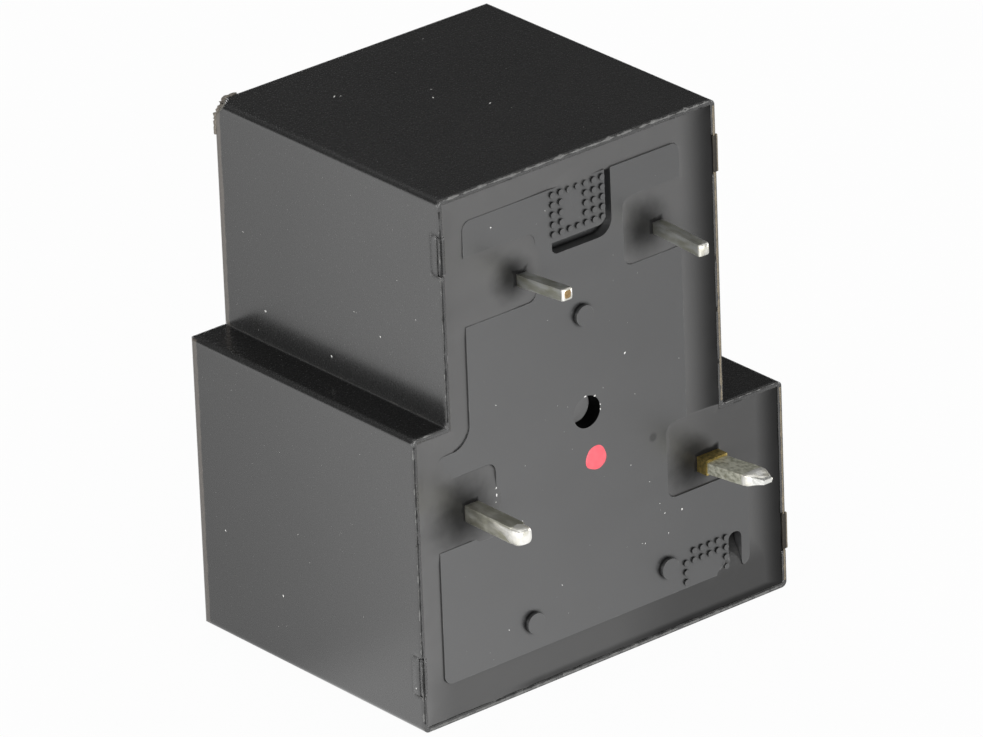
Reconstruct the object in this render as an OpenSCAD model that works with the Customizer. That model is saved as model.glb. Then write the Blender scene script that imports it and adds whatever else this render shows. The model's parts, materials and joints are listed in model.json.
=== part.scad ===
// Sealed power relay for a printed circuit board, standing on its wide end.
// X runs across the relay, Y from the pins to the closed face, Z along its length.
// The origin is the centre of the wide end face. All sizes are in millimetres.

/* [Cover] */
// Length from the wide end to the narrow end
body_len = 32.3; // [31:0.1:38]
// Width of the wide end
body_w = 27.5; // [26.5:0.1:31]
// Depth from the rim at the pins to the closed face
body_d = 20; // [18:0.1:24]
// Left side of the neck, from the left side of the wide end
neck_left = 2.52; // [2.1:0.01:3]
// Right side of the neck, from the left side of the wide end
neck_right = 23.03; // [22.7:0.01:24.5]
// Height of the left shoulder
shoulder_left = 18.4; // [16:0.1:22]
// Height of the right shoulder
shoulder_right = 13.2; // [12.4:0.1:18]
// Wall thickness of the cover
wall = 0.9; // [0.6:0.05:1.2]
// Thickness of the rim, from the pins down to the ledge that the base rests on
lip_t = 0.3; // [0.2:0.05:0.5]
// Radius of the cover's outer edges
edge_r = 0.35; // [0.15:0.05:0.6]
// Length of the cut where the vent nib was trimmed off one corner
vent_cut = 1.1; // [0.6:0.1:1.5]

/* [Base and resin] */
// Depth of the resin well below the rim
well_depth = 0.9; // [0.7:0.05:1.3]
// Thickness of the base plate under the resin
base_t = 1.3; // [1:0.1:1.8]
// Step from the rim down to the island's face
face_sink = 0.08; // [0.02:0.01:0.2]
// Step from the island's face down to the resin
resin_sink = 0.04; // [0.02:0.01:0.15]
// Width of the resin band on the left
band_left = 1.75; // [1.4:0.05:2.2]
// Width of the resin band on the right
band_right = 2.7; // [2.2:0.05:3]
// Width of the resin band at the narrow end
band_top = 1.85; // [1.5:0.05:2.4]
// Width of the resin band at the wide end
band_bottom = 2.4; // [1.8:0.05:2.8]
// Corner radius of the island and of the pockets in it
island_r = 0.6; // [0.3:0.05:0.8]
// Radius in the island's corner beside the left shoulder
island_fillet = 1.4; // [0.5:0.1:2]
// How far the resin spreads from a pin where it climbs it
collar_w = 0.9; // [0.5:0.05:1]
// Radius of the hollow curve in which the resin climbs a pin
collar_r = 1.3; // [1.1:0.05:1.8]
// Diameter of the standoffs
standoff_d = 1.25; // [0.8:0.05:1.8]
// Height of the standoffs above the island
standoff_h = 0.3; // [0.1:0.05:0.6]
// Distance of the middle standoff from the narrow end
standoff_inset = 10.2; // [9.4:0.1:11]
// Height of the two lower standoffs above the wide end
standoff_z = 4.2; // [3.4:0.1:5]
// Diameter of the gate recess
gate_d = 2; // [1.2:0.1:2.6]
// Depth of the gate recess
gate_depth = 1.05; // [0.5:0.05:1.3]
// Height of the gate recess above the wide end
gate_z = 15.95; // [15:0.05:17]
// Depth of the grooves beside the dotted panels
groove_depth = 0.75; // [0.4:0.05:0.8]
// Corner radius of the dotted panels' grooves
groove_r = 1; // [0.8:0.05:1.2]
// Width of the groove beside the upper panel
groove_high_w = 0.45; // [0.3:0.05:0.6]
// Width of the groove beside the lower panel
groove_low_w = 1; // [0.6:0.05:1.2]
// Diameter of the dots
dot_d = 0.34; // [0.2:0.02:0.45]
// Spacing of the dots
dot_pitch = 0.61; // [0.55:0.01:0.64]
// Height of the dots above the island
dot_h = 0.12; // [0.06:0.02:0.2]
// Length of the latch tabs
latch_len = 2.3; // [1.5:0.1:3]
// Height of the latch tabs' outer ends
latch_h = 0.45; // [0.3:0.05:0.7]
// How far the latch tabs lie below the rim
latch_sink = 0.25; // [0.15:0.05:0.35]
// How far the latch tabs stand out of the cover's sides
latch_proud = 0.18; // [0.05:0.01:0.3]

/* [Pins] */
// Side of the square coil pins
coil_pin_w = 0.7; // [0.6:0.05:1]
// Length of the coil pins in front of the rim
coil_pin_len = 4; // [3:0.1:6]
// Distance between the coil pins
coil_pitch = 10.16; // [9.6:0.01:10.6]
// Distance of the coil pins from the narrow end
coil_pin_inset = 6.55; // [6:0.05:7.2]
// Side of the square normally open pin
open_pin_w = 1; // [0.8:0.05:1.3]
// Length of the normally open pin in front of the rim
open_pin_len = 4.7; // [3:0.1:6]
// Distance of the normally open pin from the left side
open_pin_inset = 4.15; // [3.9:0.05:4.4]
// Height of the normally open pin above the wide end
open_pin_z = 12.65; // [12.2:0.05:13.2]
// Width of the common pin at its root
com_pin_w = 1.6; // [1.2:0.05:2]
// Width of the common pin in front of its root
com_shaft_w = 1.5; // [1.1:0.05:1.6]
// Thickness of the common pin in front of its root
com_shaft_t = 0.75; // [0.5:0.05:0.9]
// Length of the common pin's root in front of the rim
com_root_len = 0.8; // [0.5:0.1:1.2]
// Thickness of the common terminal
com_t = 0.95; // [0.7:0.05:1.1]
// Length of the common pin in front of the rim
com_pin_len = 5; // [3:0.1:6]
// Height of the common pin above the wide end
com_pin_z = 10; // [9.8:0.05:10.3]

/* [Coil] */
// Thickness of the flange that holds the coil pins
pin_flange_t = 2.2; // [1.6:0.1:2.6]
// Thickness of the flange at the pole
pole_flange_t = 1.2; // [0.8:0.1:1.6]
// Wall thickness of the bobbin's tube
tube_t = 0.8; // [0.5:0.05:1]
// Height left between the winding and the edge of the flanges
winding_inset = 0.7; // [0.4:0.05:1]
// Thickness of the tape over the winding
tape_t = 0.18; // [0.1:0.01:0.3]
// Diameter of the winding's leads
lead_d = 0.26; // [0.15:0.01:0.35]
// Turns of a lead round its pin
lead_turns = 3; // [1:1:4]

/* [Iron circuit] */
// Diameter of the core
core_d = 7; // [6:0.1:8]
// Diameter of the core's pole face
pole_d = 9.5; // [8.6:0.1:9.8]
// Thickness of the pole face
pole_t = 1.4; // [0.8:0.1:1.6]
// Diameter of the core's neck in the yoke
core_neck_d = 5; // [4:0.1:5.8]
// Height of the peened end of the core
peen_h = 0.5; // [0.3:0.05:0.8]
// Thickness of the yoke
yoke_t = 1.8; // [1.4:0.1:2.1]
// Width of the yoke
yoke_w = 11; // [9:0.1:11.4]
// Thickness of the armature
arm_t = 1.8; // [1.4:0.1:2.1]
// Width of the armature
arm_w = 11; // [9:0.1:12]
// Angle by which the armature stands open
open_deg = 6; // [4:0.25:7]

/* [Contacts] */
// Thickness of the contact spring
spring_t = 0.3; // [0.2:0.02:0.4]
// Width of the contact spring at the hinge
spring_w = 7; // [5:0.1:8]
// Inside radius of the contact spring's bend
bend_r = 0.8; // [0.6:0.05:0.95]
// Diameter of the fixed contact
fixed_d = 4.2; // [3.4:0.1:4.4]
// Thickness of the fixed contact
fixed_h = 1.3; // [1:0.05:1.6]
// Diameter of the moving contact
moving_d = 3.8; // [3:0.1:4.2]
// Thickness of the moving contact
moving_h = 1.1; // [0.8:0.05:1.3]
// Diameter of the rivets' shanks
rivet_d = 1.6; // [1.2:0.1:2]
// Diameter of the rivets' heads
rivet_head_d = 2.56; // [2.2:0.02:3]
// Height of the rivets' heads
rivet_h = 0.3; // [0.2:0.02:0.4]
// Height of the lower yoke rivet above the pole face
yoke_rivet_low = 4; // [3:0.1:4.5]
// Distance between the yoke rivets
yoke_rivet_pitch = 4; // [3:0.1:4.5]
// Height of the contact spring's upper end above the pole face
spring_rise = 10; // [9.6:0.1:11]

/* [Clearances] */
// Gap between the base and the cover
base_fit = 0.08; // [0.04:0.01:0.15]
// Gap round a pin in the base, and round the core in the bobbin
slot_fit = 0.05; // [0.02:0.01:0.1]
// Gap round a rivet in its hole
rivet_fit = 0.02; // [0.01:0.01:0.04]
// Gap between the closed armature and the pole, and between the closed contacts
close_gap = 0.05; // [0.03:0.01:0.1]
// Gap between the open armature and its stop
stop_gap = 0.05; // [0.03:0.01:0.1]
// Gap between the coil's pieces and what stands beside them
coil_gap = 0.3; // [0.2:0.05:0.4]
// Gap between the armature or the bobbin and the contacts
arm_gap = 0.35; // [0.25:0.05:0.5]
// Gap between the heads of the yoke rivets and the cover
head_gap = 0.23; // [0.15:0.01:0.3]

/* [Hidden] */
$fn = 48;
eps = 0.01;

// Depths, from the pins to the closed face
rim_y = -body_d / 2;
top_y = body_d / 2;
face_y = rim_y + face_sink;
latch_y = rim_y + latch_sink;
resin_y = face_y + resin_sink;
plate_y = rim_y + well_depth;
inside_y = plate_y + base_t;
lid_y = top_y - wall;
boss_h = 1.2;
boss_y = inside_y + boss_h;
coil_y = (inside_y + lid_y) / 2;

// Lines across the relay
left_x = -body_w / 2;
right_x = body_w / 2;
neck_low_x = left_x + neck_left;
neck_high_x = left_x + neck_right;
neck_mid = (neck_low_x + neck_high_x) / 2;
com_out_x = neck_high_x - wall - head_gap - rivet_h;
com_in_x = com_out_x - com_t;
yoke_out_x = com_in_x - spring_t;
yoke_in_x = yoke_out_x - yoke_t;
contact_inset = 2.65;
contact_x = left_x + wall + contact_inset;

// Coil: between the cover and the yoke, with room for the leads' turns in front of it
coil_left = neck_low_x + wall;
coil_x = (coil_left + yoke_in_x) / 2;
coil_half = (yoke_in_x - coil_left) / 2 - coil_gap;
lead_pitch = 0.9 * lead_d;
lead_room = (lead_turns - 1) * lead_pitch + lead_d + 2 * slot_fit;
flange_r = min(coil_half, (lid_y - inside_y) / 2 - lead_room);
winding_r = flange_r - winding_inset;
tube_r = core_d / 2 + slot_fit + tube_t;

// Pins, with the length of each tip and the share of the section at its end
coil_shift = 0.69;
coil_mid = neck_mid + coil_shift;
coil_pin_x = [coil_mid - coil_pitch / 2, coil_mid + coil_pitch / 2];
coil_pin_z = body_len - coil_pin_inset;
open_pin_x = left_x + open_pin_inset;
com_pin_shift = 0.3;
com_pin_x = com_in_x + com_pin_shift + com_pin_w / 2;
coil_tip = 0.12;
coil_tip_share = 0.75;
open_tip = 0.8;
open_tip_share = 0.55;
com_tip = 1.3;
com_tip_share = 0.4;

// Contacts: the fixed one hangs under its blade, the moving one meets it from below
blade_low = open_pin_z - open_pin_w / 2;
blade_top = open_pin_z + open_pin_w / 2;
fixed_low = blade_low - fixed_h;
shank_d = 2;
tail_d = 3;
tail_h = 0.4;

// Hinge of the armature, at the end of the yoke
hinge_inset = 0.3;
hinge_x = yoke_out_x - hinge_inset;
hinge_z = fixed_low - close_gap - moving_h + arm_t;
pole_z = hinge_z + close_gap;
heel = 1;
arm_left = contact_x + fixed_d / 2 + arm_gap - hinge_x;
contact_arm = contact_x - hinge_x;
arm_rivet_x = -4.4;
arm_rivet_y = 2;
rivet_hole_d = rivet_d + 2 * rivet_fit;

// Bend of the contact spring, tangent to the yoke and to the open armature
bend_x = hinge_inset - bend_r;
bend_z = (bend_r - arm_t + sin(open_deg) * bend_x) / cos(open_deg);
bend_steps = 10;
tip_margin = 0.25;
tip_r = moving_d / 2 + tip_margin;
// Point of the open armature, from its place with the hinge at the origin and the armature level
function open_at(x, z) = [hinge_x + x * cos(open_deg) - z * sin(open_deg),
    hinge_z + x * sin(open_deg) + z * cos(open_deg)];

// Heights along the coil
pole_flange_z = blade_top + tail_h + arm_gap;
winding_z = pole_flange_z + pole_flange_t;
pin_flange_z = coil_pin_z - pin_flange_t / 2;
yoke_z = pin_flange_z + pin_flange_t;
yoke_top = yoke_z + yoke_t;
yoke_rivet_z = [pole_z + yoke_rivet_low, pole_z + yoke_rivet_low + yoke_rivet_pitch];
spring_top = pole_z + spring_rise;

// Front bar of the pin flange, beside the yoke's leg
flange_front = coil_y - flange_r;
bar_margin = 1;
bar_back = coil_y - yoke_w / 2 - coil_gap;

// Leads: thickness at a kink, drop below the pin flange, and how far round the tape they end
lead_knot_d = 1.1 * lead_d;
lead_drop = 3 * lead_d;
lead_lean = 25;

// Stop under the open armature's spring
stop_w = 1.8;
stop_h = 4;
stop_x = hinge_x + arm_left + coil_gap;
spring_low = -arm_t - spring_t;
stop_reach = (stop_x - hinge_x + spring_low * sin(open_deg)) / cos(open_deg);
stop_z = hinge_z + stop_reach * sin(open_deg) + spring_low * cos(open_deg) - stop_gap;

// Island of the base and the pockets round the pins
island_left = neck_low_x + band_left;
island_right = neck_high_x - band_right;
island_low = band_bottom;
island_top = body_len - band_top;
coil_pocket_low = 1.75;
coil_pocket_high = 2.5;
coil_pocket_reach = [1.13, 2.52];
open_pocket_low = 1.9;
open_pocket_high = 2.45;
open_pocket_reach = 1.9;
com_pocket_low = 1.55;
com_pocket_reach = 3;
// Height to which the resin climbs a pin
collar_h = collar_r - sqrt(collar_r * collar_r - collar_w * collar_w);

// Small forms on the base's face
standoffs = concat([[neck_mid, body_len - standoff_inset]],
    [for (x = coil_pin_x) [x, standoff_z]]);
gate_shift = 0.12;
gate = [neck_mid + gate_shift, gate_z];
// Grooves: one round two sides of the upper panel, one beside the lower panel
groove_high_low = 0.75;
groove_high_reach = [2.03, 2.43];
groove_high_drop = 4.05;
groove_high_start = [neck_mid - groove_high_reach[0], island_top - groove_high_drop];
groove_high_end = neck_mid + groove_high_reach[1];
groove_left_r = 0.4;
finger_w = 0.6;
groove_low_end = right_x - band_right - finger_w;
groove_low_start = groove_low_end - groove_low_w;
groove_low_top = 4.75;
groove_low_r = 0.45 * groove_low_w;
// Dots: columns from the grooves to the left, rows up the upper panel and down the lower one
dot_edge = 0.25;
dot_columns = [7, 6];
dot_rows = [5, 4];
dot_blank = [3, 4];
dot_high_low = 0.51;
dot_low_drop = 0.11;
latch_low_z = 3.55;
latch_high_z = body_len - 3.4;
latch_root = 0.5;
latches = [[left_x, latch_low_z, -1], [right_x, latch_low_z, 1],
    [neck_low_x, latch_high_z, -1], [neck_high_x, latch_high_z, 1]];

// Front outline of the cover, moved inwards by d, from the lower left corner
function outline(d) = [
    [left_x + d, d], [right_x - d, d],
    [right_x - d, shoulder_right - d], [neck_high_x - d, shoulder_right - d],
    [neck_high_x - d, body_len - d], [neck_low_x + d, body_len - d],
    [neck_low_x + d, shoulder_left - d], [left_x + d, shoulder_left - d]];
// Each outer corner of the outline and the quarter turn that it faces
outer_corners = [[0, 180], [1, 270], [2, 0], [4, 0], [5, 90], [7, 90]];
// Each inner corner of the outline and the turn of its rounding
inner_corners = [[3, 90], [6, 0]];

// Extrudes a front outline between two depths
module slab(y0, y1) {
    translate([0, y1, 0]) rotate([90, 0, 0]) linear_extrude(y1 - y0) children();
}

// Box between two corners
module block(low, high) {
    translate(low) cube(high - low);
}

// Round bar along Y
module bar_y(x, z, d, y0, y1) {
    translate([x, y1, z]) rotate([90, 0, 0]) cylinder(d = d, h = y1 - y0);
}

// Round bar along Z
module bar_z(x, y, d, z0, z1) {
    translate([x, y, z0]) cylinder(d = d, h = z1 - z0);
}

// Round bar along X
module bar_x(y, z, d, x0, x1) {
    translate([x0, y, z]) rotate([0, 90, 0]) cylinder(d = d, h = x1 - x0);
}

// Rectangle with round corners between two corners
module soft_rect(low, high, r) {
    size = high - low;
    translate([low.x + r, low.y]) square([size.x - 2 * r, size.y]);
    translate([low.x, low.y + r]) square([size.x, size.y - 2 * r]);
    for (x = [low.x + r, high.x - r], y = [low.y + r, high.y - r]) translate([x, y]) circle(r);
}

// What a rounding takes off a square corner at the origin
module round_off(r) {
    difference() {
        translate([-eps, -eps]) square(r + eps);
        translate([r, r]) circle(r);
    }
}

// Front outline of the cover with its outer corners rounded
module cover_outline() {
    points = outline(0);
    difference() {
        polygon(points);
        for (c = outer_corners) translate(points[c[0]]) rotate(c[1] + 180) round_off(edge_r);
    }
}

// What rounds the edges of the closed face
module face_rounding() {
    points = outline(0);
    for (i = [0 : len(points) - 1]) {
        a = points[i];
        b = points[(i + 1) % len(points)];
        run = b - a;
        translate([a.x, top_y, a.y]) rotate([0, atan2(run.x, run.y), 0]) rotate([0, 0, 180])
            linear_extrude(norm(run)) round_off(edge_r);
    }
    for (c = inner_corners)
        translate([points[c[0]].x, top_y, points[c[0]].y]) rotate([-90, 0, 0]) rotate([0, 0, c[1]])
            rotate_extrude(angle = 90) difference() {
                translate([0, -edge_r]) square([edge_r, edge_r + eps]);
                translate([edge_r, -edge_r]) circle(edge_r);
            }
}

// Outer ends of the latch tabs, grown by a gap, with their front faces at one depth
module latch_ends(gap, front_y) {
    for (l = latches) {
        in_x = l.x - l.z * (lip_t + latch_root);
        out_x = l.x + l.z * latch_proud;
        block([min(in_x, out_x), front_y, l.y - latch_len / 2 - gap],
            [max(in_x, out_x), latch_y + latch_h + gap, l.y + latch_len / 2 + gap]);
    }
}

// Roots of the latch tabs, from the base plate up to their outer ends
module latch_roots() {
    for (l = latches) {
        near_x = l.x - l.z * (lip_t + base_fit);
        far_x = l.x - l.z * (lip_t + latch_root);
        block([min(near_x, far_x), latch_y, l.y - latch_len / 2],
            [max(near_x, far_x), inside_y, l.y + latch_len / 2]);
    }
}

module cover() {
    lean = acos(1 / sqrt(3));
    color([0.09, 0.09, 0.095]) difference() {
        slab(rim_y, top_y) cover_outline();
        face_rounding();
        slab(rim_y - eps, lid_y) polygon(outline(wall));
        slab(rim_y - eps, inside_y) polygon(outline(lip_t));
        latch_ends(base_fit, rim_y - eps);
        translate([neck_low_x, top_y, body_len]) rotate([0, lean, 135])
            translate([-2 * vent_cut, -2 * vent_cut, -vent_cut / sqrt(3)]) cube(4 * vent_cut);
    }
}

// Outline of the base's island, cut back by the resin pockets round the pins
module island_outline() {
    far = body_w;
    difference() {
        union() {
            soft_rect([island_left, island_low], [island_right, island_top], island_r);
            soft_rect([left_x + band_left, island_low], [neck_mid, shoulder_left - band_left], island_r);
            soft_rect([neck_mid, island_low], [right_x - band_right, shoulder_right - band_right], island_r);
            translate([island_left + eps, shoulder_left - band_left - eps]) rotate(90)
                round_off(island_fillet);
        }
        soft_rect([-far, coil_pin_z - coil_pocket_low],
            [coil_pin_x[0] + coil_pocket_reach[0], coil_pin_z + coil_pocket_high], island_r);
        soft_rect([coil_pin_x[1] - coil_pocket_reach[1], coil_pin_z - coil_pocket_low],
            [far, coil_pin_z + coil_pocket_high], island_r);
        soft_rect([-far, open_pin_z - open_pocket_low],
            [open_pin_x + open_pocket_reach, open_pin_z + open_pocket_high], island_r);
        soft_rect([com_pin_x - com_pocket_reach, com_pin_z - com_pocket_low],
            [far, shoulder_right], island_r);
    }
}

// Sections of the four pins, grown by a gap
module pin_sections(gap) {
    for (x = coil_pin_x) translate([x, coil_pin_z]) square(coil_pin_w + 2 * gap, center = true);
    translate([open_pin_x, open_pin_z]) square(open_pin_w + 2 * gap, center = true);
    translate([com_pin_x, com_pin_z]) square([com_pin_w + 2 * gap, com_t + 2 * gap], center = true);
}

// Outlines of the grooves beside the dotted panels
module groove_outlines() {
    panel_r = groove_r - groove_high_w;
    mid = (groove_high_start.x + groove_high_end) / 2;
    difference() {
        union() {
            soft_rect(groove_high_start, [mid + groove_r, body_len], groove_left_r);
            soft_rect([mid - groove_r, groove_high_start.y], [groove_high_end, body_len], groove_r);
        }
        soft_rect([-body_w, groove_high_start.y + groove_high_low],
            [groove_high_end - groove_high_w, body_len + groove_r], panel_r);
    }
    soft_rect([groove_low_start, -groove_low_w], [groove_low_end, groove_low_top], groove_low_r);
    translate([groove_low_start, island_low]) rotate(90) round_off(groove_r);
    translate([groove_low_end, island_low]) round_off(finger_w / 2);
}

// Raised dots on the two panels, round a plain middle
module dots() {
    high_x = groove_high_end - groove_high_w - dot_edge;
    high_z = groove_high_start.y + groove_high_low + dot_high_low;
    for (i = [0 : dot_columns[0] - 1], j = [0 : dot_rows[0] - 1])
        if (i < dot_blank[0] || i > dot_blank[1] || j == 0 || j == dot_rows[0] - 1)
            bar_y(high_x - i * dot_pitch, high_z + j * dot_pitch, dot_d, face_y - dot_h, face_y + dot_h);
    low_x = groove_low_start - dot_edge;
    low_z = groove_low_top - dot_low_drop;
    for (i = [0 : dot_columns[1] - 1], j = [0 : dot_rows[1] - 1])
        if (j == 1 || (j == 0 && i < dot_columns[1] - 1) || (j > 1 && (i == 0 || i == dot_columns[1] - 1)))
            bar_y(low_x - i * dot_pitch, low_z - j * dot_pitch, dot_d, face_y - dot_h, face_y + dot_h);
}

// Supports on the inside of the base: terminal bosses, coil seats and the armature's stop
module base_inside() {
    boss_margin = 1;
    seat_y = flange_front - slot_fit;
    block([open_pin_x - open_pin_w / 2 - boss_margin, inside_y - eps, blade_low - boss_margin],
        [open_pin_x + open_pin_w / 2 + boss_margin, boss_y, pole_flange_z - coil_gap]);
    block([com_pin_x - com_pin_w / 2 - boss_margin, inside_y - eps, com_pin_z - com_t / 2 - boss_margin],
        [com_pin_x + com_pin_w / 2 + boss_margin, boss_y, com_pin_z + com_t / 2 + boss_margin]);
    block([coil_x - flange_r / 2, inside_y - eps, pole_flange_z],
        [coil_x + flange_r / 2, seat_y, winding_z]);
    block([coil_x - flange_r / 4, inside_y - eps, pin_flange_z],
        [coil_x + flange_r / 4, seat_y, yoke_z]);
    block([stop_x, inside_y - eps, stop_z - stop_h], [stop_x + stop_w, coil_y, stop_z]);
}

module base() {
    color([0.11, 0.11, 0.115]) difference() {
        union() {
            difference() {
                union() {
                    slab(plate_y, inside_y) polygon(outline(lip_t + base_fit));
                    slab(face_y, plate_y + eps) island_outline();
                }
                slab(face_y - eps, face_y + groove_depth) groove_outlines();
                bar_y(gate.x, gate.y, gate_d, face_y - eps, face_y + gate_depth);
            }
            dots();
            for (s = standoffs) bar_y(s.x, s.y, standoff_d, face_y - standoff_h, plate_y);
            latch_roots();
            latch_ends(0, latch_y);
            base_inside();
        }
        slab(rim_y, boss_y + eps) pin_sections(slot_fit);
    }
}

// Collar of resin that climbs a pin in a hollow curve, from half the pin's width outwards
module resin_collar(x, z, half) {
    reach = half + collar_w;
    translate([x, resin_y, z]) rotate([90, 0, 0]) rotate_extrude() difference() {
        translate([0, -eps]) square([reach, collar_h + eps]);
        translate([reach, collar_r]) circle(collar_r);
        translate([reach, -collar_r]) square([collar_r, 2 * collar_r]);
    }
}

module sealing_resin() {
    color([0.13, 0.13, 0.135]) difference() {
        union() {
            slab(resin_y, plate_y) polygon(outline(lip_t));
            for (x = coil_pin_x) resin_collar(x, coil_pin_z, coil_pin_w / 2);
            resin_collar(open_pin_x, open_pin_z, open_pin_w / 2);
            resin_collar(com_pin_x, com_pin_z, com_t / 2);
        }
        slab(resin_y - collar_h - eps, plate_y + eps) {
            island_outline();
            pin_sections(0);
        }
        latch_roots();
        latch_ends(0, latch_y);
    }
}

// Tapered tip of a pin, from its full section to a share of it
module pin_tip(x, z, size, len, tip, share) {
    translate([x, rim_y - len + tip, z]) rotate([90, 0, 0])
        linear_extrude(tip, scale = share) square(size, center = true);
}

// Square pin of the coil, from its tip into the bobbin
module coil_pin(x) {
    half = coil_pin_w / 2;
    tail_y = (flange_front + bar_back) / 2;
    color([0.78, 0.76, 0.7]) {
        block([x - half, rim_y - coil_pin_len + coil_tip, coil_pin_z - half],
            [x + half, tail_y, coil_pin_z + half]);
        pin_tip(x, coil_pin_z, [coil_pin_w, coil_pin_w], coil_pin_len, coil_tip, coil_tip_share);
    }
}

module coil_pin_left() {
    coil_pin(coil_pin_x[0]);
}

module coil_pin_right() {
    coil_pin(coil_pin_x[1]);
}

module normally_open_terminal() {
    half = open_pin_w / 2;
    blade_r = fixed_d / 2;
    color([0.8, 0.78, 0.7]) {
        block([open_pin_x - half, rim_y - open_pin_len + open_tip, blade_low],
            [open_pin_x + half, boss_y + eps, blade_top]);
        pin_tip(open_pin_x, open_pin_z, [open_pin_w, open_pin_w], open_pin_len, open_tip, open_tip_share);
        difference() {
            union() {
                block([contact_x - blade_r, boss_y, blade_low], [contact_x + blade_r, coil_y, blade_top]);
                bar_z(contact_x, coil_y, fixed_d, blade_low, blade_top);
            }
            bar_z(contact_x, coil_y, shank_d + 2 * rivet_fit, blade_low - eps, blade_top + eps);
        }
    }
}

module common_terminal() {
    half = com_pin_w / 2;
    low = com_pin_z - com_t / 2;
    high = com_pin_z + com_t / 2;
    color([0.8, 0.66, 0.4]) {
        block([com_pin_x - half, rim_y - com_root_len, low], [com_pin_x + half, boss_y + eps, high]);
        block([com_pin_x - com_shaft_w / 2, rim_y - com_pin_len + com_tip, com_pin_z - com_shaft_t / 2],
            [com_pin_x + com_shaft_w / 2, rim_y, com_pin_z + com_shaft_t / 2]);
        pin_tip(com_pin_x, com_pin_z, [com_shaft_w, com_shaft_t], com_pin_len, com_tip, com_tip_share);
        block([com_in_x, boss_y, low], [com_pin_x + half, coil_y + spring_w / 2, high]);
        difference() {
            block([com_in_x, coil_y - spring_w / 2, low], [com_out_x, coil_y + spring_w / 2, spring_top]);
            for (z = yoke_rivet_z) bar_x(coil_y, z, rivet_hole_d, com_in_x - eps, com_out_x + eps);
        }
    }
}

// Contact rivet along Z: its face, shank and spread tail, all at one place
module contact_rivet(x, y, face_z, face_d, face_h, grip) {
    up = sign(grip);
    back_z = face_z + up * face_h;
    tail_z = back_z + grip;
    bar_z(x, y, face_d, min(face_z, back_z), max(face_z, back_z));
    bar_z(x, y, shank_d, min(face_z, tail_z), max(face_z, tail_z));
    bar_z(x, y, tail_d, min(tail_z, tail_z + up * tail_h), max(tail_z, tail_z + up * tail_h));
}

module fixed_contact() {
    color([0.82, 0.82, 0.84]) contact_rivet(contact_x, coil_y, fixed_low, fixed_d, fixed_h, open_pin_w);
}

// Places what is drawn with the hinge at the origin and the armature level
module on_armature() {
    translate([hinge_x, 0, hinge_z]) rotate([0, -open_deg, 0]) children();
}

module moving_contact() {
    color([0.82, 0.82, 0.84]) on_armature()
        contact_rivet(contact_arm, coil_y, -arm_t + moving_h, moving_d, moving_h, -spring_t);
}

// Holes for the rivets through the armature and its spring
module armature_rivet_bars(d, z0, z1) {
    for (side = [-1, 1]) bar_z(arm_rivet_x, coil_y + side * arm_rivet_y, d, z0, z1);
}

// Points along the spring's bend at one radius
function bend_arc(r, from, to) = [for (i = [0 : bend_steps]) let (a = from + (to - from) * i / bend_steps)
    [hinge_x + bend_x + r * cos(a), hinge_z + bend_z + r * sin(a)]];
// Side profile of the contact spring: down the yoke, round the bend and along the open armature
function spring_profile() = concat(
    [[com_in_x, spring_top]], bend_arc(bend_r + spring_t, 0, open_deg - 90),
    [open_at(contact_arm - tip_r, spring_low), open_at(contact_arm - tip_r, -arm_t)],
    bend_arc(bend_r, open_deg - 90, 0), [[yoke_out_x, spring_top]]);

// What narrows the contact spring towards the moving contact
module spring_waist() {
    half = spring_w / 2;
    difference() {
        translate([contact_arm - spring_w, -spring_w])
            square([arm_left - contact_arm + spring_w, 2 * spring_w]);
        polygon([[arm_left + eps, half], [contact_arm, tip_r],
            [contact_arm, -tip_r], [arm_left + eps, -half]]);
        translate([contact_arm, 0]) circle(tip_r);
    }
}

module contact_spring() {
    half = spring_w / 2;
    color([0.78, 0.55, 0.32]) difference() {
        slab(coil_y - half, coil_y + half) polygon(spring_profile());
        for (z = yoke_rivet_z) bar_x(coil_y, z, rivet_hole_d, yoke_out_x - eps, com_in_x + eps);
        on_armature() {
            translate([0, coil_y, spring_low - spring_t]) linear_extrude(3 * spring_t) spring_waist();
            armature_rivet_bars(rivet_hole_d, spring_low - eps, -arm_t + eps);
            bar_z(contact_arm, coil_y, shank_d + 2 * rivet_fit, spring_low - eps, -arm_t + eps);
        }
    }
}

module armature() {
    heel_side = heel * sqrt(2);
    color([0.62, 0.62, 0.64]) on_armature() difference() {
        translate([0, coil_y, -arm_t]) linear_extrude(arm_t)
            soft_rect([arm_left, -arm_w / 2], [0, arm_w / 2], heel / 2);
        translate([0, coil_y, -arm_t]) rotate([0, 45, 0])
            cube([heel_side, 2 * arm_w, heel_side], center = true);
        armature_rivet_bars(rivet_hole_d, -arm_t - eps, eps);
    }
}

module armature_rivets() {
    color([0.72, 0.72, 0.74]) on_armature() {
        armature_rivet_bars(rivet_d, spring_low - rivet_h, 0);
        armature_rivet_bars(rivet_head_d, spring_low - rivet_h, spring_low);
    }
}

module yoke() {
    color([0.58, 0.58, 0.6]) difference() {
        union() {
            block([yoke_in_x, coil_y - yoke_w / 2, pole_z], [yoke_out_x, coil_y + yoke_w / 2, yoke_top]);
            translate([0, coil_y, yoke_z]) linear_extrude(yoke_t)
                soft_rect([coil_x - core_d / 2 - heel, -yoke_w / 2], [yoke_out_x, yoke_w / 2], heel / 2);
        }
        bar_z(coil_x, coil_y, core_neck_d + 2 * rivet_fit, yoke_z - eps, yoke_top + eps);
        for (z = yoke_rivet_z) bar_x(coil_y, z, rivet_hole_d, yoke_in_x - eps, yoke_out_x + eps);
    }
}

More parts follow.
